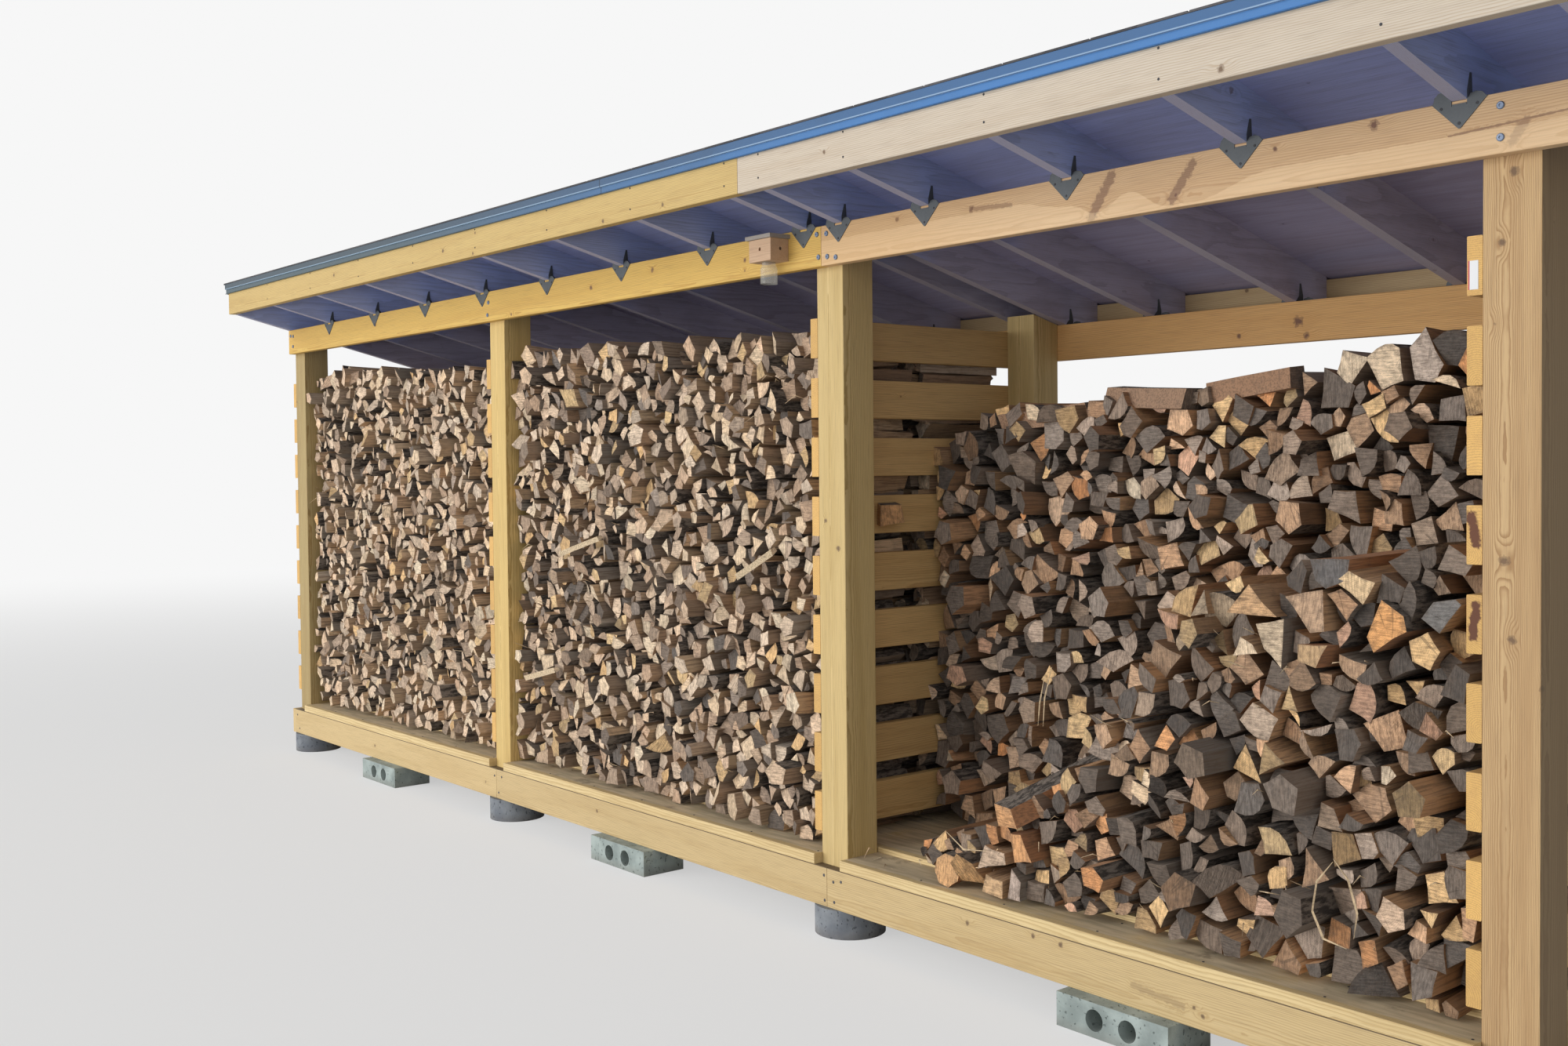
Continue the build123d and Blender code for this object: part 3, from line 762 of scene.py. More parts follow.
# outlines of the ears and of the lip in the notch, in mm beside and above the notch's middle
ears = [[(-65, 0), (-21, 0), (-24, 15), (-36, 25), (-51, 24), (-61, 14)],
        [(21, 0), (65, 0), (56, 10), (41, 14), (27, 11)],
        [(-18, -12), (18, -12), (18, -8), (-18, -8)]]
ear_thickness = 0.0026
places, faces = [], []
for x, face, way, top in tie_places:
    for outline in ears:
        count = len(outline)
        base = len(places)
        for depth in (0.0, ear_thickness):
            places.extend((x + u / 1000, face + way * depth, top + w / 1000) for u, w in outline)
        faces.extend((base + k, base + (k + 1) % count, base + count + (k + 1) % count,
                      base + count + k) for k in range(count))
        faces.append(tuple(range(base, base + count)))
        faces.append(tuple(range(base + count, base + 2 * count)))
finished(solid_mesh("tie_ears", places, faces), tie_finish, "galvanised_steel")


# Bee trap: a small cedar box with a bored entrance in its front and its right side, a
# thin lid, and a clear jar screwed under it. It hangs on the front beam by one screw.
box_low, box_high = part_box("bee_trap_box")
size = [box_high[axis] - box_low[axis] for axis in range(3)]
middle = [(box_high[axis] + box_low[axis]) / 2 for axis in range(3)]
trap_box = plain("bee_trap_body", size, middle)
modified(trap_box, "BEVEL", width=0.0012, segments=2)
entrance, rise = 0.0065, 0.004
bores = []
for centre, turn in (((middle[0], box_low[1], middle[2] + rise), (math.pi / 2, 0, 0)),
                     ((box_high[0], middle[1] + rise, middle[2] + rise), (0, math.pi / 2, 0))):
    bpy.ops.object.select_all(action="DESELECT")
    bpy.ops.mesh.primitive_cylinder_add(vertices=20, radius=entrance, depth=0.05,
                                        location=centre, rotation=turn)
    bores.append(bpy.context.object)
bore = joined("bores", bores)
modified(trap_box, "BOOLEAN", operation="DIFFERENCE", solver="EXACT", object=bore)
bpy.data.objects.remove(bore)


def trap_finish(name, pale, late, seed):
    return board_finish(name, 0, [], middle[1:], pale, late, seed=seed, ring=0.004,
                        knot_share=0.0, contrast=0.4)


finished(trap_box, trap_finish("trap_cedar", (0.62, 0.42, 0.27), (0.50, 0.30, 0.18), 3.0),
         "trap_cedar", "bee_trap_box")
dress(["bee_trap_lid"],
      trap_finish("trap_lid_wood", (0.33, 0.30, 0.27), (0.24, 0.21, 0.18), 9.0))
jar = Surface("clear_jar")
jar.rough(0.08)
jar.colour((0.66, 0.66, 0.60, 1))
jar.feed("Alpha", 0.26)
jar.feed("IOR", 1.45)
dress(["bee_trap_jar"], jar)


# Tag: a plastic slip stapled on the top slat's sawn end. It is white with a red edge, and has
# no print.
tag_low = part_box("slat_tag")[0]
surface = Surface("slat_tag_plastic")
edge = surface.step(surface.place().split()[0], tag_low[0] + 0.0045, tag_low[0] + 0.0035)
surface.colour(surface.mix(edge, (0.62, 0.63, 0.64), (0.42, 0.03, 0.03)))
surface.rough(0.4)
dress(["slat_tag"], surface)


# Firewood: logs about 16 inches long, split in wedges, halves and squares with bark on one
# side, stacked loose in two rows, their ends to the front and to the back. Some stand proud.
floor_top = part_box("floor_panel_1")[1][2]
beam_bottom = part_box("front_beam_left")[0][2]
log_length = 0.406
# tops of the rows as places along the bay, with the drop from the beam or the rise from the floor
first_drops = [(0, 0.172), (0.4, 0.142), (0.8, 0.156), (1.2, 0.190), (1.6, 0.196), (2.4, 0.234)]
second_drops = [(0, 0.182), (0.4, 0.194), (0.8, 0.178), (1.2, 0.212), (1.6, 0.226),
                (2.4, 0.240)]
third_drops = [(0, 0.662), (0.24, 0.546), (0.33, 0.522), (1.0, 0.504), (1.43, 0.482),
               (1.67, 0.452), (1.82, 0.397), (2.12, 0.372), (2.4, 0.317)]
third_heights = [(0.474, 0.08), (0.83, 0.19), (1.14, 0.42), (1.29, 0.65), (1.45, 0.76),
                 (1.51, 0.975), (1.7, 1.016), (2.0, 1.06), (2.24, 1.125), (2.4, 1.12)]
# how logs are strewn: squares of the grid that finds neighbours, tries in each round, how close
# two logs lie as a share of their sizes, and the gap that is left between their sections
grid_step = 0.15
attempts = 9000
closeness = 0.84
widest_gap = 0.0015
# sections: their size before neighbours cut them, the shortest side that is kept, the side that
# is long enough to break, and the share of logs with bark
uncut = 1.75
least_side = 0.006
long_side = 0.045
bark_share = 0.58
# what a face of a log is, as the finish reads it
END, RIM, SPLIT, BARK = 0.0, 0.2, 0.5, 1.0


def top_at(tops, place):
    """Height of a row's top at a place along it, and the floor's where it has none."""
    if not tops[0][0] <= place <= tops[-1][0]:
        return floor_top
    return float(np.interp(place, [point[0] for point in tops], [point[1] for point in tops]))


def clipped(outline, normal, reach):
    """The part of a convex outline whose places along normal are under reach. Each corner
    has the kind of the side that starts there, and the new side is split wood."""
    kept = []
    for first, last in zip(outline, outline[1:] + outline[:1]):
        a = first[0] * normal[0] + first[1] * normal[1] - reach
        b = last[0] * normal[0] + last[1] * normal[1] - reach
        if a <= 0:
            kept.append(first)
        if (a < 0 < b) or (b < 0 < a):
            share = a / (a - b)
            kind = SPLIT if a < 0 else first[2]
            kept.append((first[0] + share * (last[0] - first[0]),
                         first[1] + share * (last[1] - first[1]), kind))
    return kept


def simpler(outline, count):
    """The outline without its flattest corners, until count of them are left."""
    points = list(outline)
    while len(points) > count:
        losses = []
        for number, (x, z, kind) in enumerate(points):
            a, b = points[number - 1], points[(number + 1) % len(points)]
            losses.append(abs((x - a[0]) * (b[1] - a[1]) - (b[0] - a[0]) * (z - a[1])))
        points.pop(losses.index(min(losses)))
    return points


def barked(outline, dice):
    """One corner of the outline gives way to a curved side with bark on it."""
    start = dice.randrange(len(outline))
    points = outline[start:] + outline[:start]
    a, b, c = points[0], points[1], points[2]
    curve = []
    for share in (0.0, 0.27, 0.5, 0.73):
        rest = 1 - share
        curve.append((rest * rest * a[0] + 2 * rest * share * b[0] + share * share * c[0],
                      rest * rest * a[1] + 2 * rest * share * b[1] + share * share * c[1], BARK))
    return curve + points[2:]


def proud_spots(tops, left, x_start, x_end, bay, dice, screen=None):
    """The logs that stand out of a row's face, at the same places as in the solids."""
    reaches = [(30, 72), (30, 72), (40, 105)][bay]
    halves = [(36, 54), (36, 54), (46, 68)][bay]
    pitch, scatter, corners = 0.334, 0.24, 5
    columns = round((x_end - x_start) / pitch)
    courses = round((beam_bottom - floor_top) / pitch)
    step = (x_end - x_start) / columns
    spots = []
    for column in range(columns):
        for course in range(courses):
            x = x_start + (column + 0.5 + dice.uniform(-scatter, scatter)) * step
            z = floor_top + (course + 0.5 + dice.uniform(-scatter, scatter)) * pitch
            reach = dice.uniform(*reaches) / 1000
            half = dice.uniform(*halves) / 1000
            turn = math.radians(dice.uniform(0, 360))
            section = []
            for number in range(corners):
                far = half * dice.uniform(0.72, 1)
                angle = turn + math.tau * number / corners
                section.append((far * math.cos(angle), far * math.sin(angle),
                                BARK if number == 2 else SPLIT))
            sides = (x - left - half, x - left + half)
            z_low = max(top_at(screen, side) for side in sides) if screen else floor_top
            if z_low < z - half and z + half < min(top_at(tops, side) for side in sides):
                spots.append((x, z, half * 0.9, section, reach))
    return spots


def grid_key(x, z):
    return int(x // grid_step), int(z // grid_step)


def neighbours(grid, x, z):
    """The logs in the squares of the grid round a place."""
    column, course = grid_key(x, z)
    return [other for i in (-1, 0, 1) for j in (-1, 0, 1)
            for other in grid.get((column + i, course + j), ())]


def strewn(x_start, x_end, z_low, top, dice, sizes, spots):
    """Logs that fill a row's outline around the given ones, larger and smaller mixed. Each
    has a place, a size, a section if it is given, and how far it stands proud."""
    grid = {}
    for spot in spots:
        grid.setdefault(grid_key(*spot[:2]), []).append(spot)
    filled = list(spots)
    for radius_share in (1.0, 0.82, 0.62):
        for attempt in range(attempts):
            radius = dice.choice(sizes) * dice.uniform(0.9, 1.1) * radius_share
            x = dice.uniform(x_start + radius * 0.7, x_end - radius * 0.7)
            z_top = top(x)
            if z_top - z_low < radius * 1.6:
                continue
            z = dice.uniform(z_low + radius * 0.75, z_top - radius * 0.6)
            if all(math.hypot(x - other[0], z - other[1]) > closeness * (radius + other[2])
                   for other in neighbours(grid, x, z)):
                spot = (x, z, radius, None, 0.0)
                grid.setdefault(grid_key(x, z), []).append(spot)
                filled.append(spot)
    return filled, grid


def log_cells(x_start, x_end, z_low, top, dice, sizes, shares, spots):
    """The sections of a row's logs, each kept within its own share of the row's face."""
    filled, grid = strewn(x_start, x_end, z_low, top, dice, sizes, spots)
    cells = []
    for x, z, radius, section, reach in filled:
        whole = section is not None
        if not whole:
            turn = dice.uniform(0, math.tau)
            section = [(uncut * radius * math.cos(turn + math.tau * number / 4),
                        uncut * radius * math.sin(turn + math.tau * number / 4), SPLIT)
                       for number in range(4)]
        gap = dice.uniform(0.0, widest_gap)
        for other in neighbours(grid, x, z):
            apart = math.hypot(other[0] - x, other[1] - z)
            if apart > 1e-6 and section and not whole:
                share = (apart * apart + radius ** 2 - other[2] ** 2) / (2 * apart)
                section = clipped(section, ((other[0] - x) / apart, (other[1] - z) / apart),
                                  share - gap)
        for way, reach_out in (((-1, 0), x - x_start), ((1, 0), x_end - x),
                               ((0, -1), z - z_low)):
            section = clipped(section, way, reach_out) if section else section
        if len(section) < 3:
            continue
        if not whole:
            section = simpler([(u, v, SPLIT) for u, v, kind in section],
                              dice.choices((3, 4, 5), shares)[0])
            if dice.random() < bark_share:
                section = barked(section, dice)
        merged = []
        for point in section:
            if not merged or math.dist(point[:2], merged[-1][:2]) > least_side:
                merged.append(point)
        if len(merged) > 3 and math.dist(merged[0][:2], merged[-1][:2]) < least_side:
            merged.pop()
        if len(merged) >= 3:
            cells.append((x, z, radius, merged, reach))
    return cells


def broken(section, dice):
    """The long split sides of a section get one more corner, a little in or out."""
    points = []
    for first, last in zip(section, section[1:] + section[:1]):
        long = math.dist(first[:2], last[:2])
        points.append(first)
        if long > long_side and first[2] == SPLIT:
            out = ((last[1] - first[1]) / long, (first[0] - last[0]) / long)
            swell = long * dice.uniform(-0.05, 0.02)
            share = dice.uniform(0.3, 0.7)
            points.append((first[0] + share * (last[0] - first[0]) + out[0] * swell,
                           first[1] + share * (last[1] - first[1]) + out[1] * swell, first[2]))
    return points


def add_log(store, section, x, z, y_near, y_far, dice, end_colour, side_colour):
    """One log: its section runs from end to end with a slight taper, twist and lean. The end
    faces know how far they lie from the pith, for the rings."""
    points = broken(section, dice)
    count = len(points)
    lean_x, lean_z = dice.gauss(0, 0.010), dice.gauss(0, 0.007)
    twist = dice.gauss(0, 0.04)
    slant = dice.choice((0.10, 0.12, 0.30))
    saw = (dice.gauss(0, slant), dice.gauss(0, slant))
    middle = [sum(point[axis] for point in points) / count for axis in (0, 1)]
    bark = [point for point in points if point[2] == BARK]
    far_side = bark[len(bark) // 2] if bark else points[0]
    far = dice.uniform(0.8, 1.2) if bark else dice.uniform(1.5, 3.0)
    pith = [middle[axis] - far * (far_side[axis] - middle[axis]) for axis in (0, 1)]
    base = len(store["places"])
    for number, share in enumerate((0.0, 0.4, 1.0)):
        grow = 1 + dice.uniform(-0.07, 0.03) * (number != 0)
        c, s = math.cos(twist * share) * grow, math.sin(twist * share) * grow
        lean = (share - 0.5) * 2
        for u, v, kind in points:
            jog = dice.uniform(-0.002, 0.002) * (number == 1)
            y = y_near + share * (y_far - y_near) + (u * saw[0] + v * saw[1]) * (number != 1)
            store["places"].append((x + c * u - s * v + jog + lean_x * lean, y,
                                    z + s * u + c * v + jog + lean_z * lean))
    luck = dice.random()

    def add_face(corners, colour, kinds, grains):
        store["faces"].append(corners)
        store["looks"].append((*colour, luck, *kinds))
        store["grains"].append(grains)

    for ring in range(2):
        for k in range(count):
            a, b = base + ring * count + k, base + ring * count + (k + 1) % count
            add_face((b, a, a + count, b + count), side_colour, [points[k][2]], [(0.0, 0.0)] * 4)
    for ring, share in ((0, 0.0), (2, 1.0)):
        hub = len(store["places"])
        y = y_near + share * (y_far - y_near) + dice.uniform(-0.004, 0.004)
        lean = (share - 0.5) * 2
        store["places"].append((x + middle[0] + lean_x * lean,
                                y + middle[0] * saw[0] + middle[1] * saw[1],
                                z + middle[1] + lean_z * lean))
        for k in range(count):
            a, b = base + ring * count + k, base + ring * count + (k + 1) % count
            corners = [(a, points[k], RIM), (b, points[(k + 1) % count], RIM), (hub, middle, END)]
            if ring:
                corners.reverse()
            numbers, spots, kinds = zip(*corners)
            add_face(numbers, end_colour, kinds,
                     [(spot[0] - pith[0], spot[1] - pith[1]) for spot in spots])


def log_mesh(name, store):
    """A joined mesh of a bay's logs, with each face's colour, kind and end grain."""
    mesh = bpy.data.meshes.new(name)
    mesh.from_pydata(store["places"], [], store["faces"])
    tints, kinds, grains = [], [], []
    for face, look, spots in zip(store["faces"], store["looks"], store["grains"]):
        for corner in range(len(face)):
            tints.extend(look[:4])
            kinds.append(look[4 + corner % (len(look) - 4)])
            grains.extend(spots[corner])
    mesh.attributes.new("log_tint", "FLOAT_COLOR", "CORNER")
    mesh.attributes["log_tint"].data.foreach_set("color", tints)
    mesh.attributes.new("log_side", "FLOAT", "CORNER")
    mesh.attributes["log_side"].data.foreach_set("value", kinds)
    mesh.uv_layers.new(name="end_grain")
    mesh.uv_layers["end_grain"].data.foreach_set("uv", grains)
    mesh.validate()
    mesh.update()
    piece = bpy.data.objects.new(name, mesh)
    bpy.context.collection.objects.link(piece)
    return piece


surface = Surface("split_firewood")
place = surface.place()
tint = surface.node("Attribute", {"attribute_name": "log_tint"}, {}, out="Color")
luck = surface.node("Attribute", {"attribute_name": "log_tint"}, {}, out="Alpha")
side = surface.node("Attribute", {"attribute_name": "log_side"}, {}, out="Fac")
grain = surface.node("UVMap", {"uv_map": "end_grain"}, {}, out="UV")
radius = surface.length(grain)
along, beside = grain.split()[:2]
rings = ((radius + surface.noise(place, 28.0) * 0.012) / 0.0046).fraction()
ring_line = surface.step(rings, 0.45, 0.95) * surface.step(rings, 1.0, 0.96)
way = surface.node("Math", {"operation": "ARCTAN2"}, {0: beside, 1: along})
check = surface.step(surface.noise(surface.vector(way * 2.0, luck * 9.0, radius * 2.0), 3.5,
                                   detail=2.0), 0.66, 0.69)
grime = surface.noise(place, 22.0, detail=3.0, roughness=0.7)
speckle = surface.noise(place, 140.0, detail=3.0)
fibres = surface.noise(surface.stretched(place, (170.0, 6.0, 170.0)), 1.0, detail=3.0)
ridges = surface.noise(surface.stretched(place, (75.0, 16.0, 75.0)), 1.0, detail=4.0,
                       roughness=0.7)
end = surface.mix(ring_line * 0.22, tint, (0.12, 0.07, 0.04))
end = surface.mix(surface.step(grime, 0.46, 0.74) * 0.42, end, (0.12, 0.085, 0.062))
mottle = surface.noise(place, 62.0, detail=3.0, roughness=0.75)
turned = (luck > 0.5) * 204.0
marks = surface.noise(surface.vector(along * (230.0 - turned), beside * (turned + 26.0),
                                     luck * 7.0), 1.0, detail=2.0)
rough_tone = (1.16 - surface.step(mottle, 0.30, 0.70) * 0.40
              + (surface.step(marks, 0.35, 0.65) - 0.5) * 0.42)
end = surface.scaled(end, rough_tone)
# the ends of the logs are darker towards their edges
darker_end_edge = surface.step(side * 5.0 + (mottle - 0.5) * 0.9, 0.72, 1.05)
end = surface.mix(darker_end_edge * 0.32, end, (0.09, 0.063, 0.045))
end = surface.mix(check * 0.42, end, (0.04, 0.028, 0.02))
split = surface.mix(surface.step(fibres, 0.42, 0.66) * 0.55, tint, (0.11, 0.066, 0.042))
split = surface.mix(surface.step(grime, 0.5, 0.8) * 0.35, split, (0.09, 0.07, 0.055))
bark = surface.mix(surface.step(ridges, 0.40, 0.60), (0.035, 0.027, 0.022),
                   (0.20, 0.165, 0.135))
bark = surface.mix(surface.step(grime, 0.60, 0.80) * 0.35, bark, (0.24, 0.23, 0.20))
body = surface.mix(side > 0.25, end, split)
body = surface.mix(side > 0.75, body, bark)
surface.colour(surface.mix(surface.step(speckle, 0.56, 0.8) * 0.25, body, (0.06, 0.045, 0.035)))
surface.rough(0.9)
wood_height = fibres * (side > 0.25) + ridges * (side > 0.75) * 2.0
surface.bump(wood_height + (marks * 1.2 + mottle * 1.5) * (side < 0.25), 0.003)
firewood = surface

# colours of sawn ends with their chances in each bay, then of split sides
tan = (0.65, 0.49, 0.35)
brown = (0.42, 0.30, 0.21)
russet = (0.38, 0.235, 0.14)
dull = (0.235, 0.18, 0.14)
dark = (0.118, 0.096, 0.08)
cream = (0.76, 0.585, 0.40)
amber = (0.60, 0.40, 0.20)
orange = (0.62, 0.29, 0.12)
rosy = (0.50, 0.30, 0.20)
end_colours = [((tan, 52), (brown, 20), (cream, 20), (dull, 4), (amber, 4)),
               ((tan, 28), (brown, 28), (dull, 14), (dark, 4), (cream, 19), (amber, 7)),
               ((russet, 19), (dull, 26), (dark, 27), (brown, 6), (cream, 3), (amber, 13),
                (rosy, 3), (orange, 3))]
side_colours = [((0.62, 0.44, 0.28), (0.48, 0.34, 0.22), (0.36, 0.29, 0.22)),
                ((0.52, 0.36, 0.22), (0.38, 0.26, 0.17), (0.29, 0.235, 0.185)),
                ((0.46, 0.27, 0.14), (0.34, 0.19, 0.10), (0.24, 0.19, 0.15))]
corner_shares = [(14, 58, 28), (14, 58, 28), (10, 58, 32)]
log_sizes = [[0.027, 0.032, 0.036, 0.040], [0.027, 0.032, 0.036, 0.041],
             [0.031, 0.037, 0.044, 0.053]]
tone_spreads = (0.22, 0.22, 0.33)
splinter_counts = (36, 60, 40)


def tinted(colour, dice, spread=0.22):
    """The colour, lighter or darker and warmer or colder by chance."""
    tone = min(math.exp(dice.gauss(0, spread)), 0.78 / max(colour))
    warm = dice.uniform(-0.06, 0.06)
    return colour[0] * tone * (1 + warm), colour[1] * tone, colour[2] * tone * (1 - warm)


def ragged(dice):
    """How far a log's end lies from the face of its row."""
    return max(-0.034, min(0.034, dice.gauss(0, 0.016)))


def laid_log(store, section, first, last, dice, end_colour, side_colour):
    """A log that lies from one point to another."""
    base = len(store["places"])
    way = Vector(last) - Vector(first)
    add_log(store, section, 0, 0, 0, way.length, dice, end_colour, side_colour)
    turn = Vector((0, 1, 0)).rotation_difference(way)
    for number in range(base, len(store["places"])):
        store["places"][number] = tuple(Vector(first) + turn @ Vector(store["places"][number]))


def sliver(store, path, width, colour):
    """A thin pointed splinter or stem through the points of a path."""
    base = len(store["places"])
    last = len(path) - 1
    for number, point in enumerate(path):
        far = width * (0.25 if number in (0, last) else 1.0) / 2
        for k in range(3):
            angle = math.tau * k / 3
            store["places"].append((point[0] + far * math.cos(angle),
                                    point[1] + far * 0.5 * math.sin(angle + 1),
                                    point[2] + far * math.sin(angle)))
    made = []
    for number in range(last):
        for k in range(3):
            a, b = base + number * 3 + k, base + number * 3 + (k + 1) % 3
            made.append((b, a, a + 3, b + 3))
    made += [(base, base + 1, base + 2), (base + last * 3 + 2, base + last * 3 + 1, base + last * 3)]
    store["faces"] += made
    store["looks"] += [(*colour, 0.5, END)] * len(made)
    store["grains"] += [[(0.05, 0.05)] * len(face) for face in made]


# larger logs on the third bay's front row: a place, the corners in mm round it, the number of
# the first side with bark or None, and the colours of the ends and the split sides
fresh_side = (0.50, 0.31, 0.17)
red_side = (0.40, 0.19, 0.09)
grey_side = (0.22, 0.19, 0.16)
chosen_logs = [
    (2.844, 1.288, [(-70, -36), (66, -42), (-10, 42)], None, (0.62, 0.38, 0.20), fresh_side),
    (3.010, 1.270, [(22, -53), (60, -47), (40, 58), (-62, 35)], None, (0.50, 0.33, 0.21), fresh_side),
    (3.150, 1.352, [(20, -43), (60, 15), (-15, 41), (-60, 11)], None, (0.70, 0.50, 0.29), fresh_side),
    (3.228, 1.250, [(-28, -67), (62, -8), (51, 29), (-14, 65), (-50, -30)], 1,
     (0.68, 0.34, 0.13), red_side),
    (2.915, 1.190, [(26, -72), (39, 60), (-42, 42), (-21, -23)], None, (0.62, 0.48, 0.33), grey_side),
    (3.075, 1.385, [(-10, -48), (50, -22), (60, 30), (-55, 26), (-40, -28)], 3,
     (0.13, 0.12, 0.115), red_side),
    (3.362, 1.288, [(-2, -45), (52, 27), (37, 39), (-20, 29), (-50, -12)], 2,
     (0.17, 0.16, 0.15), fresh_side),
    (2.835, 1.165, [(-40, -25), (40, -12), (25, 12), (-12, 30)], None, cream, fresh_side),
    (3.035, 1.150, [(-40, -20), (10, -34), (45, 28), (-38, 25)], None, (0.50, 0.33, 0.18), red_side),
    (1.661, 0.353, [(-55, -8), (-34, -46), (8, -55), (46, -28), (54, 14), (30, 47), (-14, 52),
                    (-48, 30)], 5, (0.66, 0.38, 0.18), red_side),
    (1.763, 0.360, [(-38, -48), (38, -56), (30, 20), (5, 56), (-30, 18)], 2,
     (0.66, 0.40, 0.19), fresh_side),
    (1.885, 0.408, [(-56, -36), (56, -5), (35, 25), (-56, 34)], None, (0.56, 0.41, 0.29), fresh_side),
    (1.868, 0.335, [(-50, -28), (48, -31), (50, 25), (-30, 31)], None, (0.58, 0.38, 0.21), fresh_side),
    (1.955, 0.352, [(-15, -45), (28, -48), (25, 10), (-10, 48)], None, (0.46, 0.36, 0.30), grey_side),
    (1.985, 0.463, [(-25, -45), (52, -30), (10, 50), (-40, 46)], None, (0.66, 0.34, 0.15), red_side)]
chosen_reach = 0.05
# rows: their front faces, where they start beside a post and beside the slats, how far logs
# rise over the drawn tops, how far apart logs of the two lists stay, and the share set back
row_fronts = (-0.4265, 0.0865)
post_side, slat_side = 0.146, 0.006
over_top = 0.014
proud_gap = 0.13
set_back = 0.14
stick = [(-0.016, -0.008, SPLIT), (0.014, -0.012, SPLIT), (0.010, 0.012, SPLIT),
         (-0.012, 0.010, SPLIT)]
block = [(-0.045, -0.038, SPLIT), (0.048, -0.030, SPLIT), (0.040, 0.036, BARK),
         (-0.038, 0.040, SPLIT)]
straw = (0.62, 0.47, 0.29)

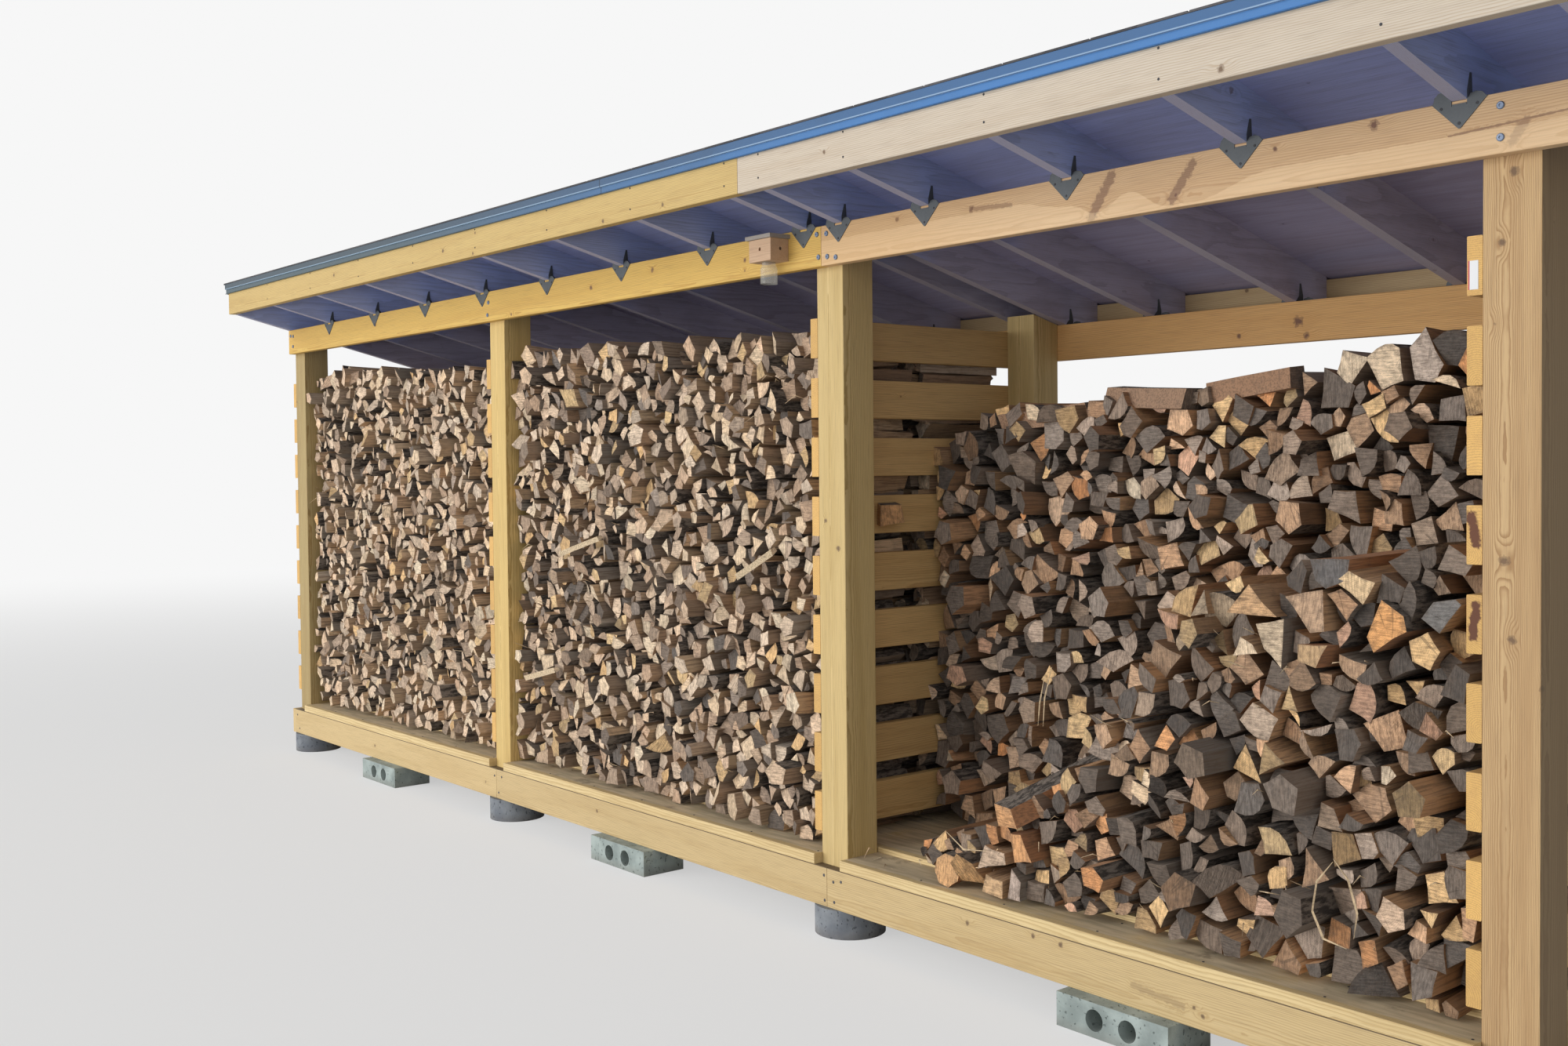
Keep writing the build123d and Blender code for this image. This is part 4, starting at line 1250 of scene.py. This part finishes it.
for bay, drops in enumerate((first_drops, second_drops, third_drops)):
    dice = random.Random(40 + bay)
    name = f"firewood_stack_{bay + 1}"
    left = post_lefts[bay]
    x_front, x_back = left + post_side, left + slat_side
    x_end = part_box(name)[1][0]
    y_front, y_back = row_fronts
    full = [(place, beam_bottom - drop) for place, drop in drops]
    drawn = full if bay < 2 else [(place, floor_top + rise) for place, rise in third_heights]
    front_proud = proud_spots(drawn, left, x_front, x_end, bay, random.Random(10 * bay + 11))
    rear_proud = proud_spots(full, left, x_front, x_end, bay, random.Random(10 * bay + 12))
    inner_proud = [] if bay < 2 else proud_spots(full, left, x_back, x_end, bay,
                                                 random.Random(10 * bay + 13), drawn)
    store = {"places": [], "faces": [], "looks": [], "grains": []}
    x_first = x_front if bay < 2 else left + third_heights[0][0] - 0.03
    for tops, x_start, y_row, near_proud, far_proud in (
            (drawn, x_first, y_front, front_proud, []),
            (full, x_back, y_back, inner_proud, rear_proud)):
        def top(x, tops=tops, left=left):
            return top_at(tops, min(max(x - left, tops[0][0]), tops[-1][0])) + over_top
        given = []
        if bay == 2 and near_proud is front_proud:
            for x, z, corners, bark_side, end_colour, side_colour in chosen_logs:
                section = [(u / 1000, w / 1000, SPLIT if bark_side is None or number < bark_side
                            else BARK) for number, (u, w) in enumerate(corners)]
                size = sum(math.hypot(u, w) for u, w, kind in section) / len(section)
                given.append((x, z, size * 0.85, section, chosen_reach))
        spots = given + [near for near in near_proud
                         if all(math.hypot(near[0] - x, near[1] - z) > near[2] + size
                                for x, z, size, section, reach in given)]
        spots += [(x, z, half, section, -reach) for x, z, half, section, reach in far_proud
                  if all(math.hypot(x - near[0], z - near[1]) > proud_gap for near in spots)]
        colours = {(x, z): pair for x, z, corners, bark_side, *pair in chosen_logs} if given else {}
        for x, z, size, section, reach in log_cells(x_start, x_end, floor_top, top, dice,
                                                    log_sizes[bay], corner_shares[bay], spots):
            y_near = y_row + ragged(dice)
            y_far = y_row + log_length + ragged(dice)
            odd = dice.random()
            if reach > 0:
                y_near = y_row - reach
                y_far -= reach * 0.5
            elif reach < 0:
                y_far = y_row + log_length - reach
                y_near -= reach * 0.5
            elif odd < set_back:
                shift = dice.uniform(0.015, 0.06)
                y_near += shift
                y_far += shift * 0.4
            tone = 1.0 if bay < 2 else 0.92 if y_row == y_front else 1.12
            colour = dice.choices(*zip(*end_colours[bay]))[0]
            pair = (tinted([part * tone for part in colour], dice, tone_spreads[bay]),
                    tinted(dice.choice(side_colours[bay]), dice, 0.25))
            add_log(store, section, x, z, y_near, y_far, dice, *colours.get((x, z), pair))
    # loose pieces: splinters, straws and a few logs that lie askew
    if bay == 1:
        for first, last in (((-0.70, -0.500, 1.275), (-0.46, -0.475, 1.375)),
                            ((0.60, -0.505, 1.250), (0.77, -0.480, 1.350)),
                            ((-1.05, -0.500, 0.695), (-0.80, -0.485, 0.770))):
            laid_log(store, stick, first, last, dice, cream, (0.66, 0.52, 0.34))
        laid_log(store, block, (1.115, -0.19, 1.478), (0.80, -0.02, 1.515), dice,
                 (0.62, 0.34, 0.15), fresh_side)
    if bay == 2:
        laid_log(store, block, (1.965, -0.500, 0.560), (2.060, -0.150, 0.690), dice,
                 (0.62, 0.33, 0.15), red_side)
        for first, last in (((1.40, 0.12, 1.808), (1.79, 0.16, 1.842)),
                            ((1.86, 0.14, 1.868), (2.24, 0.11, 1.878)),
                            ((2.28, 0.15, 1.880), (2.62, 0.10, 1.915))):
            laid_log(store, block, first, last, dice, dull, tinted((0.34, 0.20, 0.12), dice, 0.1))
        for path in ([(2.125, -0.505, 0.867), (2.140, -0.515, 0.955), (2.161, -0.505, 1.049)],
                     [(2.100, -0.500, 0.865), (2.118, -0.512, 0.940), (2.128, -0.500, 1.020)],
                     [(3.105, -0.505, 0.640), (3.070, -0.525, 0.585), (3.058, -0.525, 0.510),
                      (3.090, -0.525, 0.445), (3.150, -0.515, 0.430)],
                     [(3.110, -0.510, 0.650), (3.160, -0.525, 0.610), (3.185, -0.525, 0.530),
                      (3.170, -0.515, 0.460)],
                     [(1.700, -0.500, 0.470), (1.790, -0.510, 0.430), (1.880, -0.500, 0.440)]):
            sliver(store, path, 0.006, straw)
    for number in range(splinter_counts[bay]):
        x = dice.uniform(x_front + 0.05, x_end - 0.05)
        z = dice.uniform(floor_top + 0.05, top_at(drawn, x - left) - 0.05)
        lean, reach = dice.uniform(-0.05, 0.05), dice.uniform(0.03, 0.07)
        sliver(store, [(x, y_front - 0.005, z), (x + lean * 0.4, y_front - 0.03, z + reach * 0.2),
                       (x + lean, y_front - reach, z + dice.uniform(-0.3, 0.6) * reach)],
               0.004, tinted((0.60, 0.45, 0.28), dice))
    finished(log_mesh(f"split_logs_{bay + 1}", store), firewood, "split_firewood", name)


# Floor, backdrop light and camera: a pale floor, a broad soft light low in front on the
# left, a weak even light all round, and the camera where the photograph was taken.
bpy.ops.object.select_all(action="DESELECT")
bpy.ops.mesh.primitive_plane_add(size=400, location=(0, 0, 0))
ground = bpy.context.object
ground.name = "studio_floor"
paint = Surface("studio_floor_paint")
paint.colour((0.72, 0.72, 0.71, 1))
paint.rough(1.0)
paint.feed("Specular IOR Level", 0.0)


def seen(tree):
    """1 for what the camera sees, also in a mirror or through glass."""
    kinds = [tree.node("LightPath", {}, {}, out=name)
             for name in ("Is Camera Ray", "Is Glossy Ray", "Is Transmission Ray")]
    return kinds[0].most(kinds[1]).most(kinds[2])


white = (1, 1, 1, 1)
backdrop_level = 0.93
glow = paint.node("Emission", {}, {"Color": white, "Strength": backdrop_level})
share = (paint.step(paint.length(paint.place()), 5.0, 22.0) * 0.42 + 0.58) * seen(paint)
painted = Value(paint, paint.shader.outputs[0])
blend = paint.node("MixShader", {}, {"Fac": share, 1: painted, 2: glow})
paint.tree.links.new(blend.socket, paint.end.inputs[0])
ground.data.materials.append(paint.material)

world = bpy.data.worlds.new("studio")
bpy.context.scene.world = world
world.use_nodes = True
sky = Tree(world.node_tree)
level = sky.node("MapRange", {}, {"Value": seen(sky), "To Min": 0.26, "To Max": backdrop_level})
background = sky.tree.nodes["Background"]
sky.tree.links.new(level.socket, background.inputs["Strength"])
background.inputs["Color"].default_value = white


def sun(name, place, toward, energy, spread):
    """A soft sun that shines from the way that toward points."""
    bpy.ops.object.light_add(type="SUN", location=place)
    light = bpy.context.object
    light.name = name
    light.rotation_euler = Vector(toward).to_track_quat("Z", "Y").to_euler()
    light.data.energy = energy
    light.data.angle = math.radians(spread)


sun("key_light", (-4, -9, 4), (-0.42, -0.86, 0.33), 1.55, 40)
sun("fill_light", (9, -6, 4), (0.84, -0.50, 0.16), 0.7, 70)

bpy.ops.object.light_add(type="AREA", location=(-2.5, -10, 1.3))
panel = bpy.context.object
panel.name = "front_panel"
panel.data.shape = "RECTANGLE"
panel.data.size = 15
panel.data.size_y = 2.4
panel.data.energy = 560
lit_place = Vector((-0.5, 0, 1.8))
panel.rotation_euler = (lit_place - panel.location).to_track_quat("-Z", "Y").to_euler()

bpy.ops.object.camera_add(location=(5.2358, -3.9656, 1.6536),
                          rotation=(math.radians(88.502), math.radians(0.52),
                                    math.radians(49.497)))
camera = bpy.context.object
camera.data.sensor_width = 36
camera.data.lens = 35.117
camera.data.shift_x = -0.035
camera.data.shift_y = -0.0095
bpy.context.scene.camera = camera

bpy.context.scene.view_settings.view_transform = "Standard"
